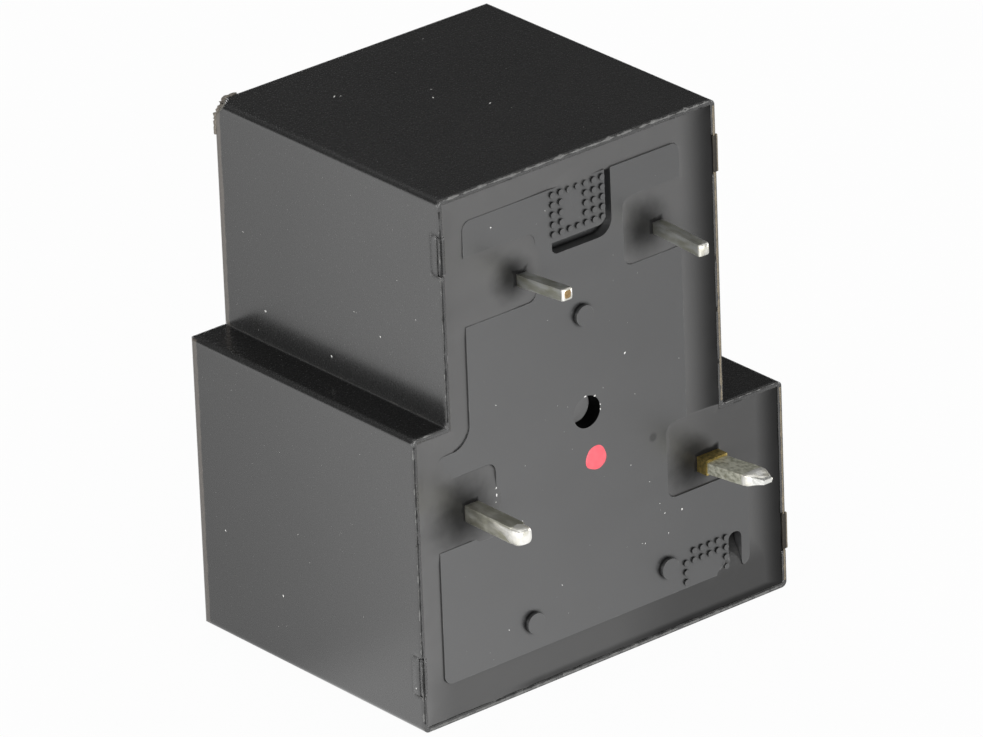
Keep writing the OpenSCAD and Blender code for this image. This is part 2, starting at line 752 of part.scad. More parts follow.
module yoke_rivets() {
    color([0.72, 0.72, 0.74]) for (z = yoke_rivet_z) {
        bar_x(coil_y, z, rivet_d, yoke_in_x, com_out_x + rivet_h);
        bar_x(coil_y, z, rivet_head_d, com_out_x, com_out_x + rivet_h);
    }
}

module core() {
    color([0.66, 0.66, 0.68]) {
        bar_z(coil_x, coil_y, pole_d, pole_z, pole_z + pole_t);
        bar_z(coil_x, coil_y, core_d, pole_z, yoke_z);
        bar_z(coil_x, coil_y, core_neck_d, pole_z, yoke_top);
        bar_z(coil_x, coil_y, core_neck_d + 2 * peen_h, yoke_top, yoke_top + peen_h);
    }
}

// Square flange of the bobbin
module flange(z0, z1) {
    translate([coil_x, coil_y, z0]) linear_extrude(z1 - z0)
        soft_rect([-flange_r, -flange_r], [flange_r, flange_r], 2 * island_r);
}

module bobbin() {
    color([0.12, 0.13, 0.14]) difference() {
        union() {
            bar_z(coil_x, coil_y, 2 * tube_r, pole_flange_z, yoke_z);
            flange(pole_flange_z, winding_z);
            flange(pin_flange_z, yoke_z);
            block([coil_pin_x[0] - bar_margin, flange_front, pin_flange_z],
                [coil_pin_x[1] + bar_margin, bar_back, yoke_z]);
        }
        bar_z(coil_x, coil_y, core_d + 2 * slot_fit, pole_flange_z - eps, yoke_z + eps);
        slab(flange_front - eps, bar_back + eps)
            for (x = coil_pin_x) translate([x, coil_pin_z])
                square(coil_pin_w + 2 * slot_fit, center = true);
    }
}

module winding() {
    color([0.72, 0.4, 0.22]) difference() {
        bar_z(coil_x, coil_y, 2 * winding_r, winding_z, pin_flange_z);
        bar_z(coil_x, coil_y, 2 * (tube_r + rivet_fit), winding_z - eps, pin_flange_z + eps);
    }
}

module coil_tape() {
    color([0.85, 0.72, 0.3]) difference() {
        bar_z(coil_x, coil_y, 2 * (winding_r + rivet_fit + tape_t), winding_z, pin_flange_z);
        bar_z(coil_x, coil_y, 2 * (winding_r + rivet_fit), winding_z - eps, pin_flange_z + eps);
    }
}

// Round wire through a row of points
module wire(points) {
    for (i = [0 : len(points) - 2]) {
        run = points[i + 1] - points[i];
        translate(points[i]) rotate([0, acos(run.z / norm(run)), atan2(run.y, run.x)])
            cylinder(d = lead_d, h = norm(run));
    }
    for (p = points) translate(p) sphere(d = lead_knot_d);
}

// Lead of the winding: turns round a pin, then down and across to the tape
module coil_lead(pin_x, side) {
    turn_r = coil_pin_w / sqrt(2) + lead_d / 2 + rivet_fit;
    mid_y = (inside_y + flange_front) / 2;
    low_z = pin_flange_z - lead_drop;
    reach = winding_r + tape_t + lead_d / 2 + 2 * rivet_fit;
    lean = lead_lean * side;
    color([0.74, 0.42, 0.22]) {
        translate([pin_x, mid_y, coil_pin_z]) rotate([90, 0, 0]) rotate_extrude()
            for (i = [0 : lead_turns - 1])
                translate([turn_r, (i - (lead_turns - 1) / 2) * lead_pitch]) circle(d = lead_d);
        wire([[pin_x, mid_y, coil_pin_z - turn_r], [pin_x, mid_y, low_z],
            [coil_x + reach * sin(lean), coil_y - reach * cos(lean), low_z]]);
    }
}

module coil_lead_left() {
    coil_lead(coil_pin_x[0], -1);
}

module coil_lead_right() {
    coil_lead(coil_pin_x[1], 1);
}

cover();
base();
sealing_resin();
coil_pin_left();
coil_pin_right();
normally_open_terminal();
common_terminal();
fixed_contact();
moving_contact();
contact_spring();
armature();
armature_rivets();
yoke();
yoke_rivets();
core();
bobbin();
winding();
coil_tape();
coil_lead_left();
coil_lead_right();
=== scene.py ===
# Looks of a sealed board relay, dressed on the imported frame
import json
import math
import random

import bmesh
import bpy
import numpy as np
from mathutils import Matrix, Vector, noise


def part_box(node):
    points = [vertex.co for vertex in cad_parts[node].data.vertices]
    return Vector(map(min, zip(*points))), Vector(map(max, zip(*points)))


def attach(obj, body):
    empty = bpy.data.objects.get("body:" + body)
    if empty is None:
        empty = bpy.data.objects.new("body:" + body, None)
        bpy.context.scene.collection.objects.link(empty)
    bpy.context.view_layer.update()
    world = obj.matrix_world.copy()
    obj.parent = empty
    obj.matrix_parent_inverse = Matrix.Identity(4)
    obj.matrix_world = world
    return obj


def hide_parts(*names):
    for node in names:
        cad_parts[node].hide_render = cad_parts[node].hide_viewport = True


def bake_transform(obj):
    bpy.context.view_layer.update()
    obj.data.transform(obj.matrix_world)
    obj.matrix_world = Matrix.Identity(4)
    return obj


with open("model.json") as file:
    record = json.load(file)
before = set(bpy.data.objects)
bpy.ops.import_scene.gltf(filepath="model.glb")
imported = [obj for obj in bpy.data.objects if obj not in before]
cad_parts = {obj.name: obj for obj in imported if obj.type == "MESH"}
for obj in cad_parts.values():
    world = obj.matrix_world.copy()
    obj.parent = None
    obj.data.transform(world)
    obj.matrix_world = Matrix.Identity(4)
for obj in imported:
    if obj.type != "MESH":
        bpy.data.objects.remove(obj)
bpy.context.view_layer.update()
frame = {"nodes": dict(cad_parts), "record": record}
nodes = frame["nodes"]
mm = 0.001
print("frame loaded,", len(nodes), "nodes")

# Lines of the cover and the base that the boxes don't give, in mm
form = {
    "neckLeft": -11.23,
    "neckRight": 9.28,
    "shoulderLeft": 18.4,
    "shoulderRight": 13.2,
    "overShoulders": (20, 21),  # what lies higher belongs to the neck
    "lip": 0.3,
    "faceSink": 0.08,  # island face below the rim
    "plateSink": 0.9,  # base plate below the rim
    "bandLeft": 1.75,  # resin between the island and the cover's sides
    "bandRight": 2.7,
    "bandTop": 1.85,
    "bandBottom": 2.4,
    "islandRound": 0.6,
    "islandFillet": 1.4,
    "ventCut": 1.1,
    "gate": (-0.855, 15.95),
    "latchLength": 2.3,
    "latchLow": 3.55,
    "latchHigh": 28.9,
}


def nodeBox(name):
    low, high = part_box(name)
    return np.array(low) / mm, np.array(high) / mm


coverLow, coverHigh = nodeBox("cover")
form["left"], form["right"] = float(coverLow[0]), float(coverHigh[0])
form["rimY"], form["backY"] = float(coverLow[1]), float(coverHigh[1])
form["top"] = float(coverHigh[2])
form["faceY"] = form["rimY"] + form["faceSink"]
form["plateY"] = form["rimY"] + form["plateSink"]
form["neckMid"] = (form["neckLeft"] + form["neckRight"]) / 2

# Node and mount of each pin, and its half section in x and z where it leaves the resin
pinRows = {
    "left": ("coil_pin_left", "coil_pin_left", 0.35, 0.35),
    "right": ("coil_pin_right", "coil_pin_right", 0.35, 0.35),
    "open": ("normally_open_terminal", "normally_open_pin", 0.5, 0.5),
    "common": ("common_terminal", "common_pin", 0.8, 0.475),
}
mountSpots = {mount["name"]: np.array(mount["pos_m"]) / mm for mount in frame["record"]["mounts"]}
pins = {}
for name, (node, mount, halfX, halfZ) in pinRows.items():
    x, y, z = mountSpots[mount]
    pins[name] = {"node": node, "x": x, "z": z, "halfX": halfX, "halfZ": halfZ, "tip": nodeBox(node)[0][1]}


# Camera

photoView = {
    "azimuth": -39.258,  # degrees, 0 looks along +Y
    "elevation": 24.843,
    "roll": -2.222,
    "distance": 624.0,  # mm
    "target": (0.005, -0.45, 15.254),
    "focalPixels": 10845.0,
    "imageWidth": 983.0,
    "sensorWidth": 36.0,
    "clip": (0.01, 20),  # metres
}


def addObject(name, data):
    made = bpy.data.objects.new(name, data)
    bpy.context.scene.collection.objects.link(made)
    return made


def directionOf(azimuth, elevation):
    turn, lift = math.radians(azimuth), math.radians(elevation)
    return Vector((math.sin(turn) * math.cos(lift), -math.cos(turn) * math.cos(lift), math.sin(lift)))


def addCamera(view):
    turn, roll = math.radians(view["azimuth"]), math.radians(view["roll"])
    back = directionOf(view["azimuth"], view["elevation"])
    level = Vector((math.cos(turn), math.sin(turn), 0))
    rise = back.cross(level)
    right = level * math.cos(roll) + rise * math.sin(roll)
    up = rise * math.cos(roll) - level * math.sin(roll)
    lens = bpy.data.cameras.new("photoCamera")
    lens.sensor_width = view["sensorWidth"]
    lens.lens = view["focalPixels"] / view["imageWidth"] * view["sensorWidth"]
    lens.clip_start, lens.clip_end = view["clip"]
    camera = addObject("photoCamera", lens)
    spot = (Vector(view["target"]) + back * view["distance"]) * mm
    camera.matrix_world = Matrix.Translation(spot) @ Matrix((right, up, back)).transposed().to_4x4()
    bpy.context.scene.camera = camera


addCamera(photoView)
bpy.context.scene.view_settings.view_transform = "Standard"
print("camera set")


# Shader values that take part in sums
class Wire:
    def __init__(self, finish, socket):
        self.finish = finish
        self.socket = socket

    def reckon(self, operation, first, second):
        return self.finish.node("ShaderNodeMath", {"operation": operation}, {0: first, 1: second})

    def __add__(self, other):
        return self.reckon("ADD", self, other)

    def __radd__(self, other):
        return self.reckon("ADD", other, self)

    def __sub__(self, other):
        return self.reckon("SUBTRACT", self, other)

    def __rsub__(self, other):
        return self.reckon("SUBTRACT", other, self)

    def __mul__(self, other):
        return self.reckon("MULTIPLY", self, other)

    def __rmul__(self, other):
        return self.reckon("MULTIPLY", other, self)

    def atLeast(self, other):
        return self.reckon("MAXIMUM", self, other)


# A material and the nodes that are added to it
class Finish:
    def __init__(self, name, constants):
        self.material = bpy.data.materials.new(name)
        self.material.use_nodes = True
        self.tree = self.material.node_tree
        self.shader = self.tree.nodes["Principled BSDF"]
        for socket, value in constants.items():
            self.shader.inputs[socket].default_value = value

    def node(self, kind, settings, inputs, output=0):
        made = self.tree.nodes.new(kind)
        for key, value in settings.items():
            setattr(made, key, value)
        for key, value in inputs.items():
            self.feed(made.inputs[key], value)
        return Wire(self, made.outputs[output])

    def feed(self, socket, value):
        if isinstance(value, Wire):
            self.tree.links.new(value.socket, socket)
        else:
            socket.default_value = value

    def give(self, **links):
        names = {"colour": "Base Color", "roughness": "Roughness", "metallic": "Metallic",
                 "coat": "Coat Weight", "normal": "Normal"}
        for key, value in links.items():
            self.feed(self.shader.inputs[names[key]], value)
        return self.material

    def vector(self, operation, first, second, output=0):
        return self.node("ShaderNodeVectorMath", {"operation": operation}, {0: first, 1: second}, output)

    def place(self, stretch=(1, 1, 1)):
        return self.vector("MULTIPLY", self.node("ShaderNodeTexCoord", {}, {}, "Object"), stretch)

    def part(self, vector, name):
        return self.node("ShaderNodeSeparateXYZ", {}, {0: vector}, name)

    def axis(self, name):
        return self.part(self.place(), name)

    def away(self, spot, stretch=(1, 1, 1)):  # metres from a spot that is in mm
        return self.vector("DISTANCE", self.place(stretch), [c * mm for c in spot], "Value")

    def grain(self, size, detail=2.0, stretch=(1, 1, 1), shift=0.0):  # size of a grain in mm
        spot = self.vector("ADD", self.place(stretch), (shift, 0, 0))
        inputs = {"Vector": spot, "Scale": 1 / (size * mm), "Detail": detail}
        return self.node("ShaderNodeTexNoise", {}, inputs)

    def window(self, value, low, high):  # rises smoothly from 0 to 1
        inputs = {0: value, 1: low, 2: high, 3: 0.0, 4: 1.0}
        return self.node("ShaderNodeMapRange", {"interpolation_type": "SMOOTHSTEP"}, inputs)

    def past(self, value, low, high):  # the same between two places in mm
        return self.window(value, low * mm, high * mm)

    def tint(self, factor, first, second):
        return self.node("ShaderNodeMix", {"data_type": "RGBA"}, {0: factor, 6: first, 7: second}, 2)

    def dents(self, height, depth, strength=1.0, rounding=0.0):  # depth and rounding of edges in mm
        inputs = {"Strength": strength, "Distance": depth * mm, "Height": height}
        if rounding:
            inputs["Normal"] = self.node("ShaderNodeBevel", {"samples": 8}, {"Radius": rounding * mm})
        return self.node("ShaderNodeBump", {}, inputs)

    def edges(self, radius):  # 1 on an edge, 0 on a flat face
        bevel = self.node("ShaderNodeBevel", {"samples": 6}, {"Radius": radius * mm})
        flat = self.node("ShaderNodeNewGeometry", {}, {}, "Normal")
        return 1 - self.vector("DOT_PRODUCT", bevel, flat, "Value")


def grey(level, warmth=0.0):
    return (level * (1 + warmth), level, level * (1 - warmth), 1)


# Moulded plastics and resin: nearly black, and bright where their skin mirrors the floor

coverLook = {
    "dark": grey(0.017),
    "pale": grey(0.024),
    "worn": (0.20, 0.185, 0.16, 1),
    "cut": (0.16, 0.15, 0.13, 1),
    "soot": grey(0.005),  # painted shade on the shoulders
    "sootDepth": 0.85,
    "fillet": grey(0.06),  # painted highlight, a pale line where the left one meets the neck
    # painted sheen of the rounded back edge of the left side: its colour, and where it starts
    "edgeSheen": (0.105, 0.092, 0.080, 1),
    "edgeSheenFrom": 9.3,  # mm, down the back edge of the left side
    "roughness": 0.27,
    "rounding": 0.4,
    "coat": 0.9,
}


def makeCoverPlastic(look):
    finish = Finish("coverPlastic", {"IOR": 1.65, "Coat Roughness": 0.22})
    colour = finish.tint(finish.grain(6, 3), look["dark"], look["pale"])
    edge = finish.window(finish.edges(0.12), 0.06, 0.3)
    chip = finish.window(finish.grain(0.5, 3, shift=3.0), 0.5, 0.66)
    colour = finish.tint(edge * (0.08 + 0.5 * chip), colour, look["worn"])
    # trimmed vent corner
    across = finish.axis("Y") + finish.axis("Z") - finish.axis("X")
    corner = form["backY"] + form["top"] - form["neckLeft"] - form["ventCut"]
    cut = finish.past(across, corner - 0.06, corner - 0.02)
    colour = finish.tint(cut, colour, look["cut"])
    # painted sheen of the rounded back edge: a strip of the faces that look left
    facing = finish.node("ShaderNodeNewGeometry", {}, {}, "True Normal")
    left = 1 - finish.window(finish.part(facing, "X"), -0.9, -0.7)
    ragged = finish.axis("Y") + 0.25 * mm * (finish.grain(0.8, 3, shift=1.0) - 0.5)
    edgeSheen = left * finish.past(ragged, look["edgeSheenFrom"], look["edgeSheenFrom"] + 0.15)
    colour = finish.tint(edgeSheen, colour, look["edgeSheen"])
    # painted shade on the shoulders
    shoulder = finish.window(finish.part(facing, "Z"), 0.7, 0.9)
    shoulder = shoulder * (1 - finish.past(finish.axis("Z"), *form["overShoulders"]))
    colour = finish.tint(look["sootDepth"] * shoulder, colour, look["soot"])
    # painted highlight along the left shoulder next to the neck
    fromNeck = finish.axis("X") - form["neckLeft"] * mm
    fillet = finish.past(fromNeck, -0.13, -0.08) * (1 - finish.past(fromNeck, 0.1, 0.2))
    colour = finish.tint(shoulder * fillet, colour, look["fillet"])
    streak = finish.grain(1.2, 3, (1, 6, 1))
    speckle = finish.grain(0.25, 2)
    rough = look["roughness"] + 0.06 * (streak - 0.5) + 0.1 * (speckle - 0.5) + 0.7 * cut + 0.1 * edgeSheen
    ripple = finish.grain(3.5, 1) + 0.03 * finish.grain(0.16, 2) + 0.8 * cut * finish.grain(0.3, 3)
    return finish.give(colour=colour, roughness=rough, coat=look["coat"] * (1 - cut),
                       normal=finish.dents(ripple, 0.03, 0.5, look["rounding"]))


baseLook = {
    "dark": grey(0.024, -0.02),
    "pale": grey(0.034, -0.02),
    "worn": (0.25, 0.25, 0.24, 1),
    "roughness": 0.33,
    "coat": 0.9,
    "smudge": (4.0, 12.75),
    "smudgeSize": 0.38,
    "latch": (0.030, 0.022, 0.012, 1),
    "gateSize": 1.0,
    "gateDepth": 1.05,
    # painted light on the recess floor, painted shade on its wall
    "gateFloorLight": grey(0.14),
    "gateWallShade": grey(0.004),
    # colour of the painted shade in the corners
    "grime": grey(0.004),
    "shadeReach": 0.3,  # mm from a corner
    "shadeDepth": 0.75,
}


def makeBasePlastic(look):
    finish = Finish("basePlastic", {"IOR": 1.75, "Coat IOR": 1.6, "Coat Roughness": 0.28})
    colour = finish.tint(finish.grain(4, 4), look["dark"], look["pale"])
    edge = finish.window(finish.edges(0.08), 0.05, 0.3)
    chip = finish.window(finish.grain(0.6, 3), 0.52, 0.7)
    colour = finish.tint(edge * (0.04 + 0.6 * chip), colour, look["worn"])
    x, z = look["smudge"]
    smudge = 1 - finish.past(finish.away((x, form["faceY"], z)), 0.4 * look["smudgeSize"], look["smudgeSize"])
    # latch tabs of the right side
    upper = finish.past(finish.axis("Z"), *form["overShoulders"])
    sideX = form["right"] * mm - upper * ((form["right"] - form["neckRight"]) * mm)
    latch = finish.past(finish.axis("X") - sideX, -0.9, -0.8)
    colour = finish.tint(latch, colour, look["latch"])
    # gate recess: painted shade on its wall, painted light on its floor
    x, z = form["gate"]
    fromGate = finish.away((x, 0, z), (1, 0, 1))
    gate = 1 - finish.past(fromGate, look["gateSize"] + 0.05, look["gateSize"] + 0.1)
    depth = finish.axis("Y") - form["faceY"] * mm
    gate = gate * finish.past(depth, 0.01, 0.05)
    bottom = finish.past(depth, look["gateDepth"] - 0.05, look["gateDepth"] - 0.01)
    colour = finish.tint(gate, colour, finish.tint(bottom, look["gateWallShade"], look["gateFloorLight"]))
    # painted shade in the corners, from ambient occlusion
    openness = finish.node("ShaderNodeAmbientOcclusion", {"samples": 8, "only_local": True},
                           {"Distance": look["shadeReach"] * mm}, "AO")
    grime = look["shadeDepth"] * (1 - finish.window(openness, 0.5, 0.95)) * (1 - gate)
    # a real smudge darkens with the same colour as the painted shade
    grime = grime.atLeast(0.35 * smudge)
    colour = finish.tint(grime, colour, look["grime"])
    rough = look["roughness"] + 0.12 * (finish.grain(0.3, 3) - 0.5) + 0.4 * smudge + 0.2 * latch + 0.4 * gate
    matt = finish.grain(0.12, 2) + 0.5 * finish.grain(0.7, 2)
    metallic = (0.8 * latch + gate * (1 - bottom)).atLeast(grime)
    coat = look["coat"] * (1 - latch) * (1 - gate) * (1 - grime)
    return finish.give(colour=colour, roughness=rough, metallic=metallic, coat=coat,
                       normal=finish.dents(matt, 0.01, 0.6))


# Slot beside the lower dots
lowSlot = {"left": 9.45, "right": 10.45, "top": 4.75, "round": 0.45, "corner": 1.1}
resinLook = {
    "dark": grey(0.020, 0.02),
    "pale": grey(0.030, 0.02),
    # colour of the painted shade on the resin
    "soot": grey(0.004),
    "roughness": 0.4,
    "halos": {  # painted shade round a pin: shift from it in x and z, and reach, in mm
        "left": (-0.65, 0.2, 1.9),
        "right": (-0.9, 0.2, 2.4),
        "open": (-0.65, 0.0, 3.2),
        "common": (-1.05, 0.1, 2.8),
    },
    "haloDepth": 0.84,
    "rootReach": 0.42,  # mm, painted shadow: a black crescent left and above a pin's root
    "rootShift": -0.12,
    "rootDepth": 0.92,
    "rightReach": 2.6,  # mm from the lip on the right that painted shade darkens over
    "rightDepth": 0.84,
    "lowDepth": 0.27,  # painted shade along the wide end, and more so on its right
    "lowRight": 0.19,
    "lowRightX": (0, 6),
    "lowX": (-14, -11),
    "lowZ": (2.2, 4.5),
    "seamDepth": 0.35,  # painted shade next to the lip of the wide end
    "seamX": (-8, -5),
    "seamZ": (0.45, 0.8),
    "pocketDepth": 0.25,  # painted shade round the common terminal
    "pocketX": (6, 9),
    "pocketZ": (7, 9),
    "slotDepth": 0.85,  # painted shade up the slot beside the lower dots
    "slotZ": (2.7, 4.2),
    "slotEnd": (5.2, 5.4),
}


def makeResin(look):
    finish = Finish("sealingResin", {"IOR": 1.6, "Coat IOR": 1.75, "Coat Roughness": 0.38})
    colour = finish.tint(finish.grain(2.5, 4), look["dark"], look["pale"])
    x, z = finish.axis("X"), finish.axis("Z")
    upper = finish.past(z, form["shoulderRight"] - 0.1, form["shoulderRight"] + 0.1)
    lipX = (form["right"] - form["lip"]) * mm - upper * ((form["right"] - form["neckRight"]) * mm)
    right = look["rightDepth"] * (1 - finish.past(lipX - x, 0, look["rightReach"]))
    low = look["lowDepth"] + look["lowRight"] * finish.past(x, *look["lowRightX"])
    low = low * (1 - finish.past(z, *look["lowZ"])) * finish.past(x, *look["lowX"])
    seam = look["seamDepth"] * (1 - finish.past(z, *look["seamZ"])) * finish.past(x, *look["seamX"])
    pocket = look["pocketDepth"] * finish.past(x, *look["pocketX"]) * (1 - upper)
    pocket = pocket * finish.past(z, *look["pocketZ"])
    # painted shade and painted shadow on the resin, which also turn it metallic and take its coat away
    resinShade = right.atLeast(low + seam).atLeast(pocket)
    wander = finish.grain(0.9, 2) - 0.5
    for name, (shift, lift, reach) in look["halos"].items():
        pin = pins[name]
        away = finish.away((pin["x"] + shift, 0, pin["z"] + lift), (1, 0, 1)) + 0.25 * reach * mm * wander
        resinShade = resinShade.atLeast(look["haloDepth"] * (1 - finish.past(away, 0.08 * reach, reach)))
        rootX, rootZ = pin["x"] + look["rootShift"], pin["z"] - look["rootShift"]
        root = finish.vector("SUBTRACT", finish.place((1, 0, 1)), (rootX * mm, 0, rootZ * mm))
        root = finish.vector("ABSOLUTE", root, (0, 0, 0))
        gapX = finish.part(root, "X") - pin["halfX"] * mm
        gapZ = finish.part(root, "Z") - pin["halfZ"] * mm
        gap = gapX.atLeast(gapZ) + 0.5 * mm * wander
        resinShade = resinShade.atLeast(look["rootDepth"] * (1 - finish.past(gap, 0, look["rootReach"])))
    slot = finish.past(x, lowSlot["left"] - 0.2, lowSlot["left"] + 0.3)
    slot = slot * (1 - finish.past(x, lowSlot["right"] + 0.2, lowSlot["right"] + 0.4))
    slot = slot * finish.past(z, *look["slotZ"]) * (1 - finish.past(z, *look["slotEnd"]))
    resinShade = resinShade.atLeast(look["slotDepth"] * slot)
    colour = finish.tint(resinShade, colour, look["soot"])
    rough = look["roughness"] + 0.16 * (finish.grain(1.5, 3) - 0.5) + 0.3 * resinShade
    wave = finish.grain(1.8, 2) + 0.08 * finish.grain(0.2, 2)
    return finish.give(colour=colour, roughness=rough, metallic=resinShade, coat=1 - resinShade,
                       normal=finish.dents(wave, 0.03, 0.5))


# Metals

metalLooks = {
    # clean and dull colour, roughness, size and stretch of the patches, depth of the dents
    "tinnedPin": ((0.80, 0.81, 0.78, 1), (0.52, 0.52, 0.42, 1), 0.33, 0.5, (1, 0.3, 1), 0.02),
    "openPin": ((0.84, 0.83, 0.74, 1), (0.54, 0.53, 0.42, 1), 0.36, 0.5, (1, 0.3, 1), 0.02),
    "brassTerminal": ((0.74, 0.56, 0.19, 1), (0.32, 0.25, 0.09, 1), 0.35, 0.3, (1, 1, 1), 0.03),
    "solder": ((0.92, 0.91, 0.87, 1), (0.74, 0.72, 0.62, 1), 0.34, 0.5, (1, 0.6, 1), 0.03),
    "frostedTin": ((0.66, 0.66, 0.56, 1), (0.33, 0.33, 0.25, 1), 0.5, 0.22, (1, 0.7, 1), 0.04),
    "cutEnd": ((0.45, 0.31, 0.15, 1), (0.24, 0.16, 0.08, 1), 0.42, 0.18, (1, 1, 1), 0.02),
    "contactSilver": ((0.86, 0.86, 0.85, 1), (0.70, 0.69, 0.66, 1), 0.30, 0.6, (1, 1, 1), 0.01),
    "springBronze": ((0.80, 0.50, 0.26, 1), (0.64, 0.38, 0.18, 1), 0.28, 0.8, (1, 4, 1), 0.008),
    "softIron": ((0.60, 0.60, 0.61, 1), (0.45, 0.45, 0.46, 1), 0.38, 1.0, (1, 3, 1), 0.01),
    "rivetSteel": ((0.66, 0.66, 0.68, 1), (0.52, 0.52, 0.54, 1), 0.30, 0.4, (1, 1, 1), 0.01),
}
metalShares = {"solder": 0.7, "frostedTin": 0.75}  # the others are all metal
# painted highlight along the edges of these metals
metalEdgeHighlights = {
    "tinnedPin": (0.95, 0.94, 0.88, 1),
    "openPin": (0.92, 0.91, 0.82, 1),
    "frostedTin": (0.86, 0.86, 0.78, 1),
}
tinnedFrom = {"openPin": -14.0, "brassTerminal": -13.4}  # y of the tinned tip, in mm
tinnedTip = (0.92, 0.92, 0.88, 1)


def makeMetal(name, clean, dull, roughness, patch, stretch, depth):
    finish = Finish(name, {"Metallic": metalShares.get(name, 1.0)})
    colour = finish.tint(finish.window(finish.grain(patch, 4, stretch), 0.35, 0.7), clean, dull)
    if name in tinnedFrom:
        shaft = finish.past(finish.axis("Y"), tinnedFrom[name] - 0.1, tinnedFrom[name])
        colour = finish.tint(1 - shaft, colour, tinnedTip)
    # painted edge highlight
    if name in metalEdgeHighlights:
        colour = finish.tint(finish.window(finish.edges(0.07), 0.05, 0.25), colour, metalEdgeHighlights[name])
    rough = roughness + 0.22 * (finish.grain(patch * 0.4, 3, stretch) - 0.4)
    dent = finish.grain(patch * 0.5, 3, stretch)
    return finish.give(colour=colour, roughness=rough, normal=finish.dents(dent, depth, 0.7))


# Coil

windingLook = {
    "enamel": (0.55, 0.20, 0.07, 1),
    "enamelDeep": (0.36, 0.11, 0.04, 1),
    "wire": 0.12,  # mm between turns
    "bandsPerWave": 20,
}


def makeWinding(look):
    finish = Finish("enamelledCopper", {"Metallic": 0.6})
    settings = {"wave_type": "BANDS", "bands_direction": "Z", "wave_profile": "SIN"}
    scale = 2 * math.pi / look["bandsPerWave"] / (look["wire"] * mm)
    turns = finish.node("ShaderNodeTexWave", settings, {"Vector": finish.place(), "Scale": scale}, "Fac")
    colour = finish.tint(turns, look["enamelDeep"], look["enamel"])
    rough = 0.26 + 0.1 * finish.grain(0.8, 2)
    return finish.give(colour=colour, roughness=rough, normal=finish.dents(turns, 0.04))


# Small finishes of two mottled colours

mottledLooks = {
    # patch: size, detail and stretch; roughness: least, swing and grain; dents: grain, depth and strength
    "coilTape": {
        "first": (0.72, 0.48, 0.10, 1), "second": (0.58, 0.36, 0.07, 1), "constants": {"Coat Weight": 0.2},
        "patch": (2, 3, (1, 1, 0.3)), "roughness": (0.3, 0.15, 0.6), "dents": (1.4, 0.04, 0.5)},
    "bobbinPlastic": {
        "first": grey(0.035), "second": grey(0.045), "constants": {"IOR": 1.5},
        "patch": (3, 3), "roughness": (0.45, 0.1, 0.4), "dents": (0.2, 0.01, 0.4)},
    "redPaint": {
        "first": (0.86, 0.085, 0.115, 1), "second": (0.90, 0.16, 0.19, 1), "constants": {"IOR": 1.48},
        "patch": (0.5, 3), "roughness": (0.4, 0.2, 0.3), "dents": (0.25, 0.02, 0.5)},
    "dustAndGlints": {
        "first": (0.62, 0.61, 0.58, 1), "second": (0.85, 0.85, 0.83, 1), "constants": {"IOR": 1.45},
        "patch": (0.4, 2), "roughness": (0.7, 0.2, 0.1)},
}
rimLooks = {
    # two colours and the least roughness of what lies on the rim
    "paleFlash": ((0.07, 0.07, 0.068, 1), (0.22, 0.22, 0.215, 1), 0.4),
    "warmFlash": ((0.10, 0.085, 0.06, 1), (0.26, 0.22, 0.16, 1), 0.45),
    "trimmedBurr": ((0.07, 0.062, 0.05, 1), (0.30, 0.265, 0.225, 1), 0.5),
    "latchBead": ((0.010, 0.008, 0.006, 1), (0.030, 0.024, 0.015, 1), 0.5),
    # painted shade in the lip's seam
    "grime": (grey(0.006), grey(0.012), 0.7),
}
for name, (first, second, roughness) in rimLooks.items():
    mottledLooks[name] = {"first": first, "second": second, "constants": {"IOR": 1.45}, "patch": (0.35, 3),
                          "roughness": (roughness, 0.2, 0.15), "dents": (0.12, 0.02, 0.5)}


def makeMottled(name, look):
    finish = Finish(name, look["constants"])
    least, swing, size = look["roughness"]
    finish.give(colour=finish.tint(finish.grain(*look["patch"]), look["first"], look["second"]),
                roughness=least + swing * finish.grain(size, 2))
    if "dents" in look:
        size, depth, strength = look["dents"]
        finish.give(normal=finish.dents(finish.grain(size, 2), depth, strength))
    return finish.material


finishes = {name: makeMetal(name, *look) for name, look in metalLooks.items()}
finishes.update({name: makeMottled(name, look) for name, look in mottledLooks.items()})
finishes["coverPlastic"] = makeCoverPlastic(coverLook)
finishes["basePlastic"] = makeBasePlastic(baseLook)
finishes["sealingResin"] = makeResin(resinLook)
finishes["enamelledCopper"] = makeWinding(windingLook)

finishNodes = {
    "coverPlastic": ["cover"],
    "basePlastic": ["base"],
    "sealingResin": ["sealing_resin"],
    "tinnedPin": ["coil_pin_left", "coil_pin_right"],
    "openPin": ["normally_open_terminal"],
    "brassTerminal": ["common_terminal"],
    "contactSilver": ["fixed_contact", "moving_contact"],
    "springBronze": ["contact_spring"],
    "softIron": ["armature", "yoke", "core"],
    "rivetSteel": ["armature_rivets", "yoke_rivets"],
    "bobbinPlastic": ["bobbin"],
    "enamelledCopper": ["winding", "coil_lead_left", "coil_lead_right"],
    "coilTape": ["coil_tape"],
}
for finishName, names in finishNodes.items():
    for name in names:
        nodes[name].data.materials.clear()
        nodes[name].data.materials.append(finishes[finishName])
print("finishes made,", len(finishes))


# Mesh pieces of the housing, built in mm and kept in metres

def addPiece(name, points, faces, finishName):
    mesh = bpy.data.meshes.new(name)
    mesh.from_pydata([tuple(float(c) * mm for c in p) for p in points], [], faces)
    mesh.materials.append(finishes[finishName])
    piece = addObject(name, mesh)
    work = bmesh.new()
    work.from_mesh(mesh)
    bmesh.ops.recalc_face_normals(work, faces=work.faces)
    work.to_mesh(mesh)
    work.free()
    for face in mesh.polygons:
        face.use_smooth = True
    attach(piece, "housing")
    return piece


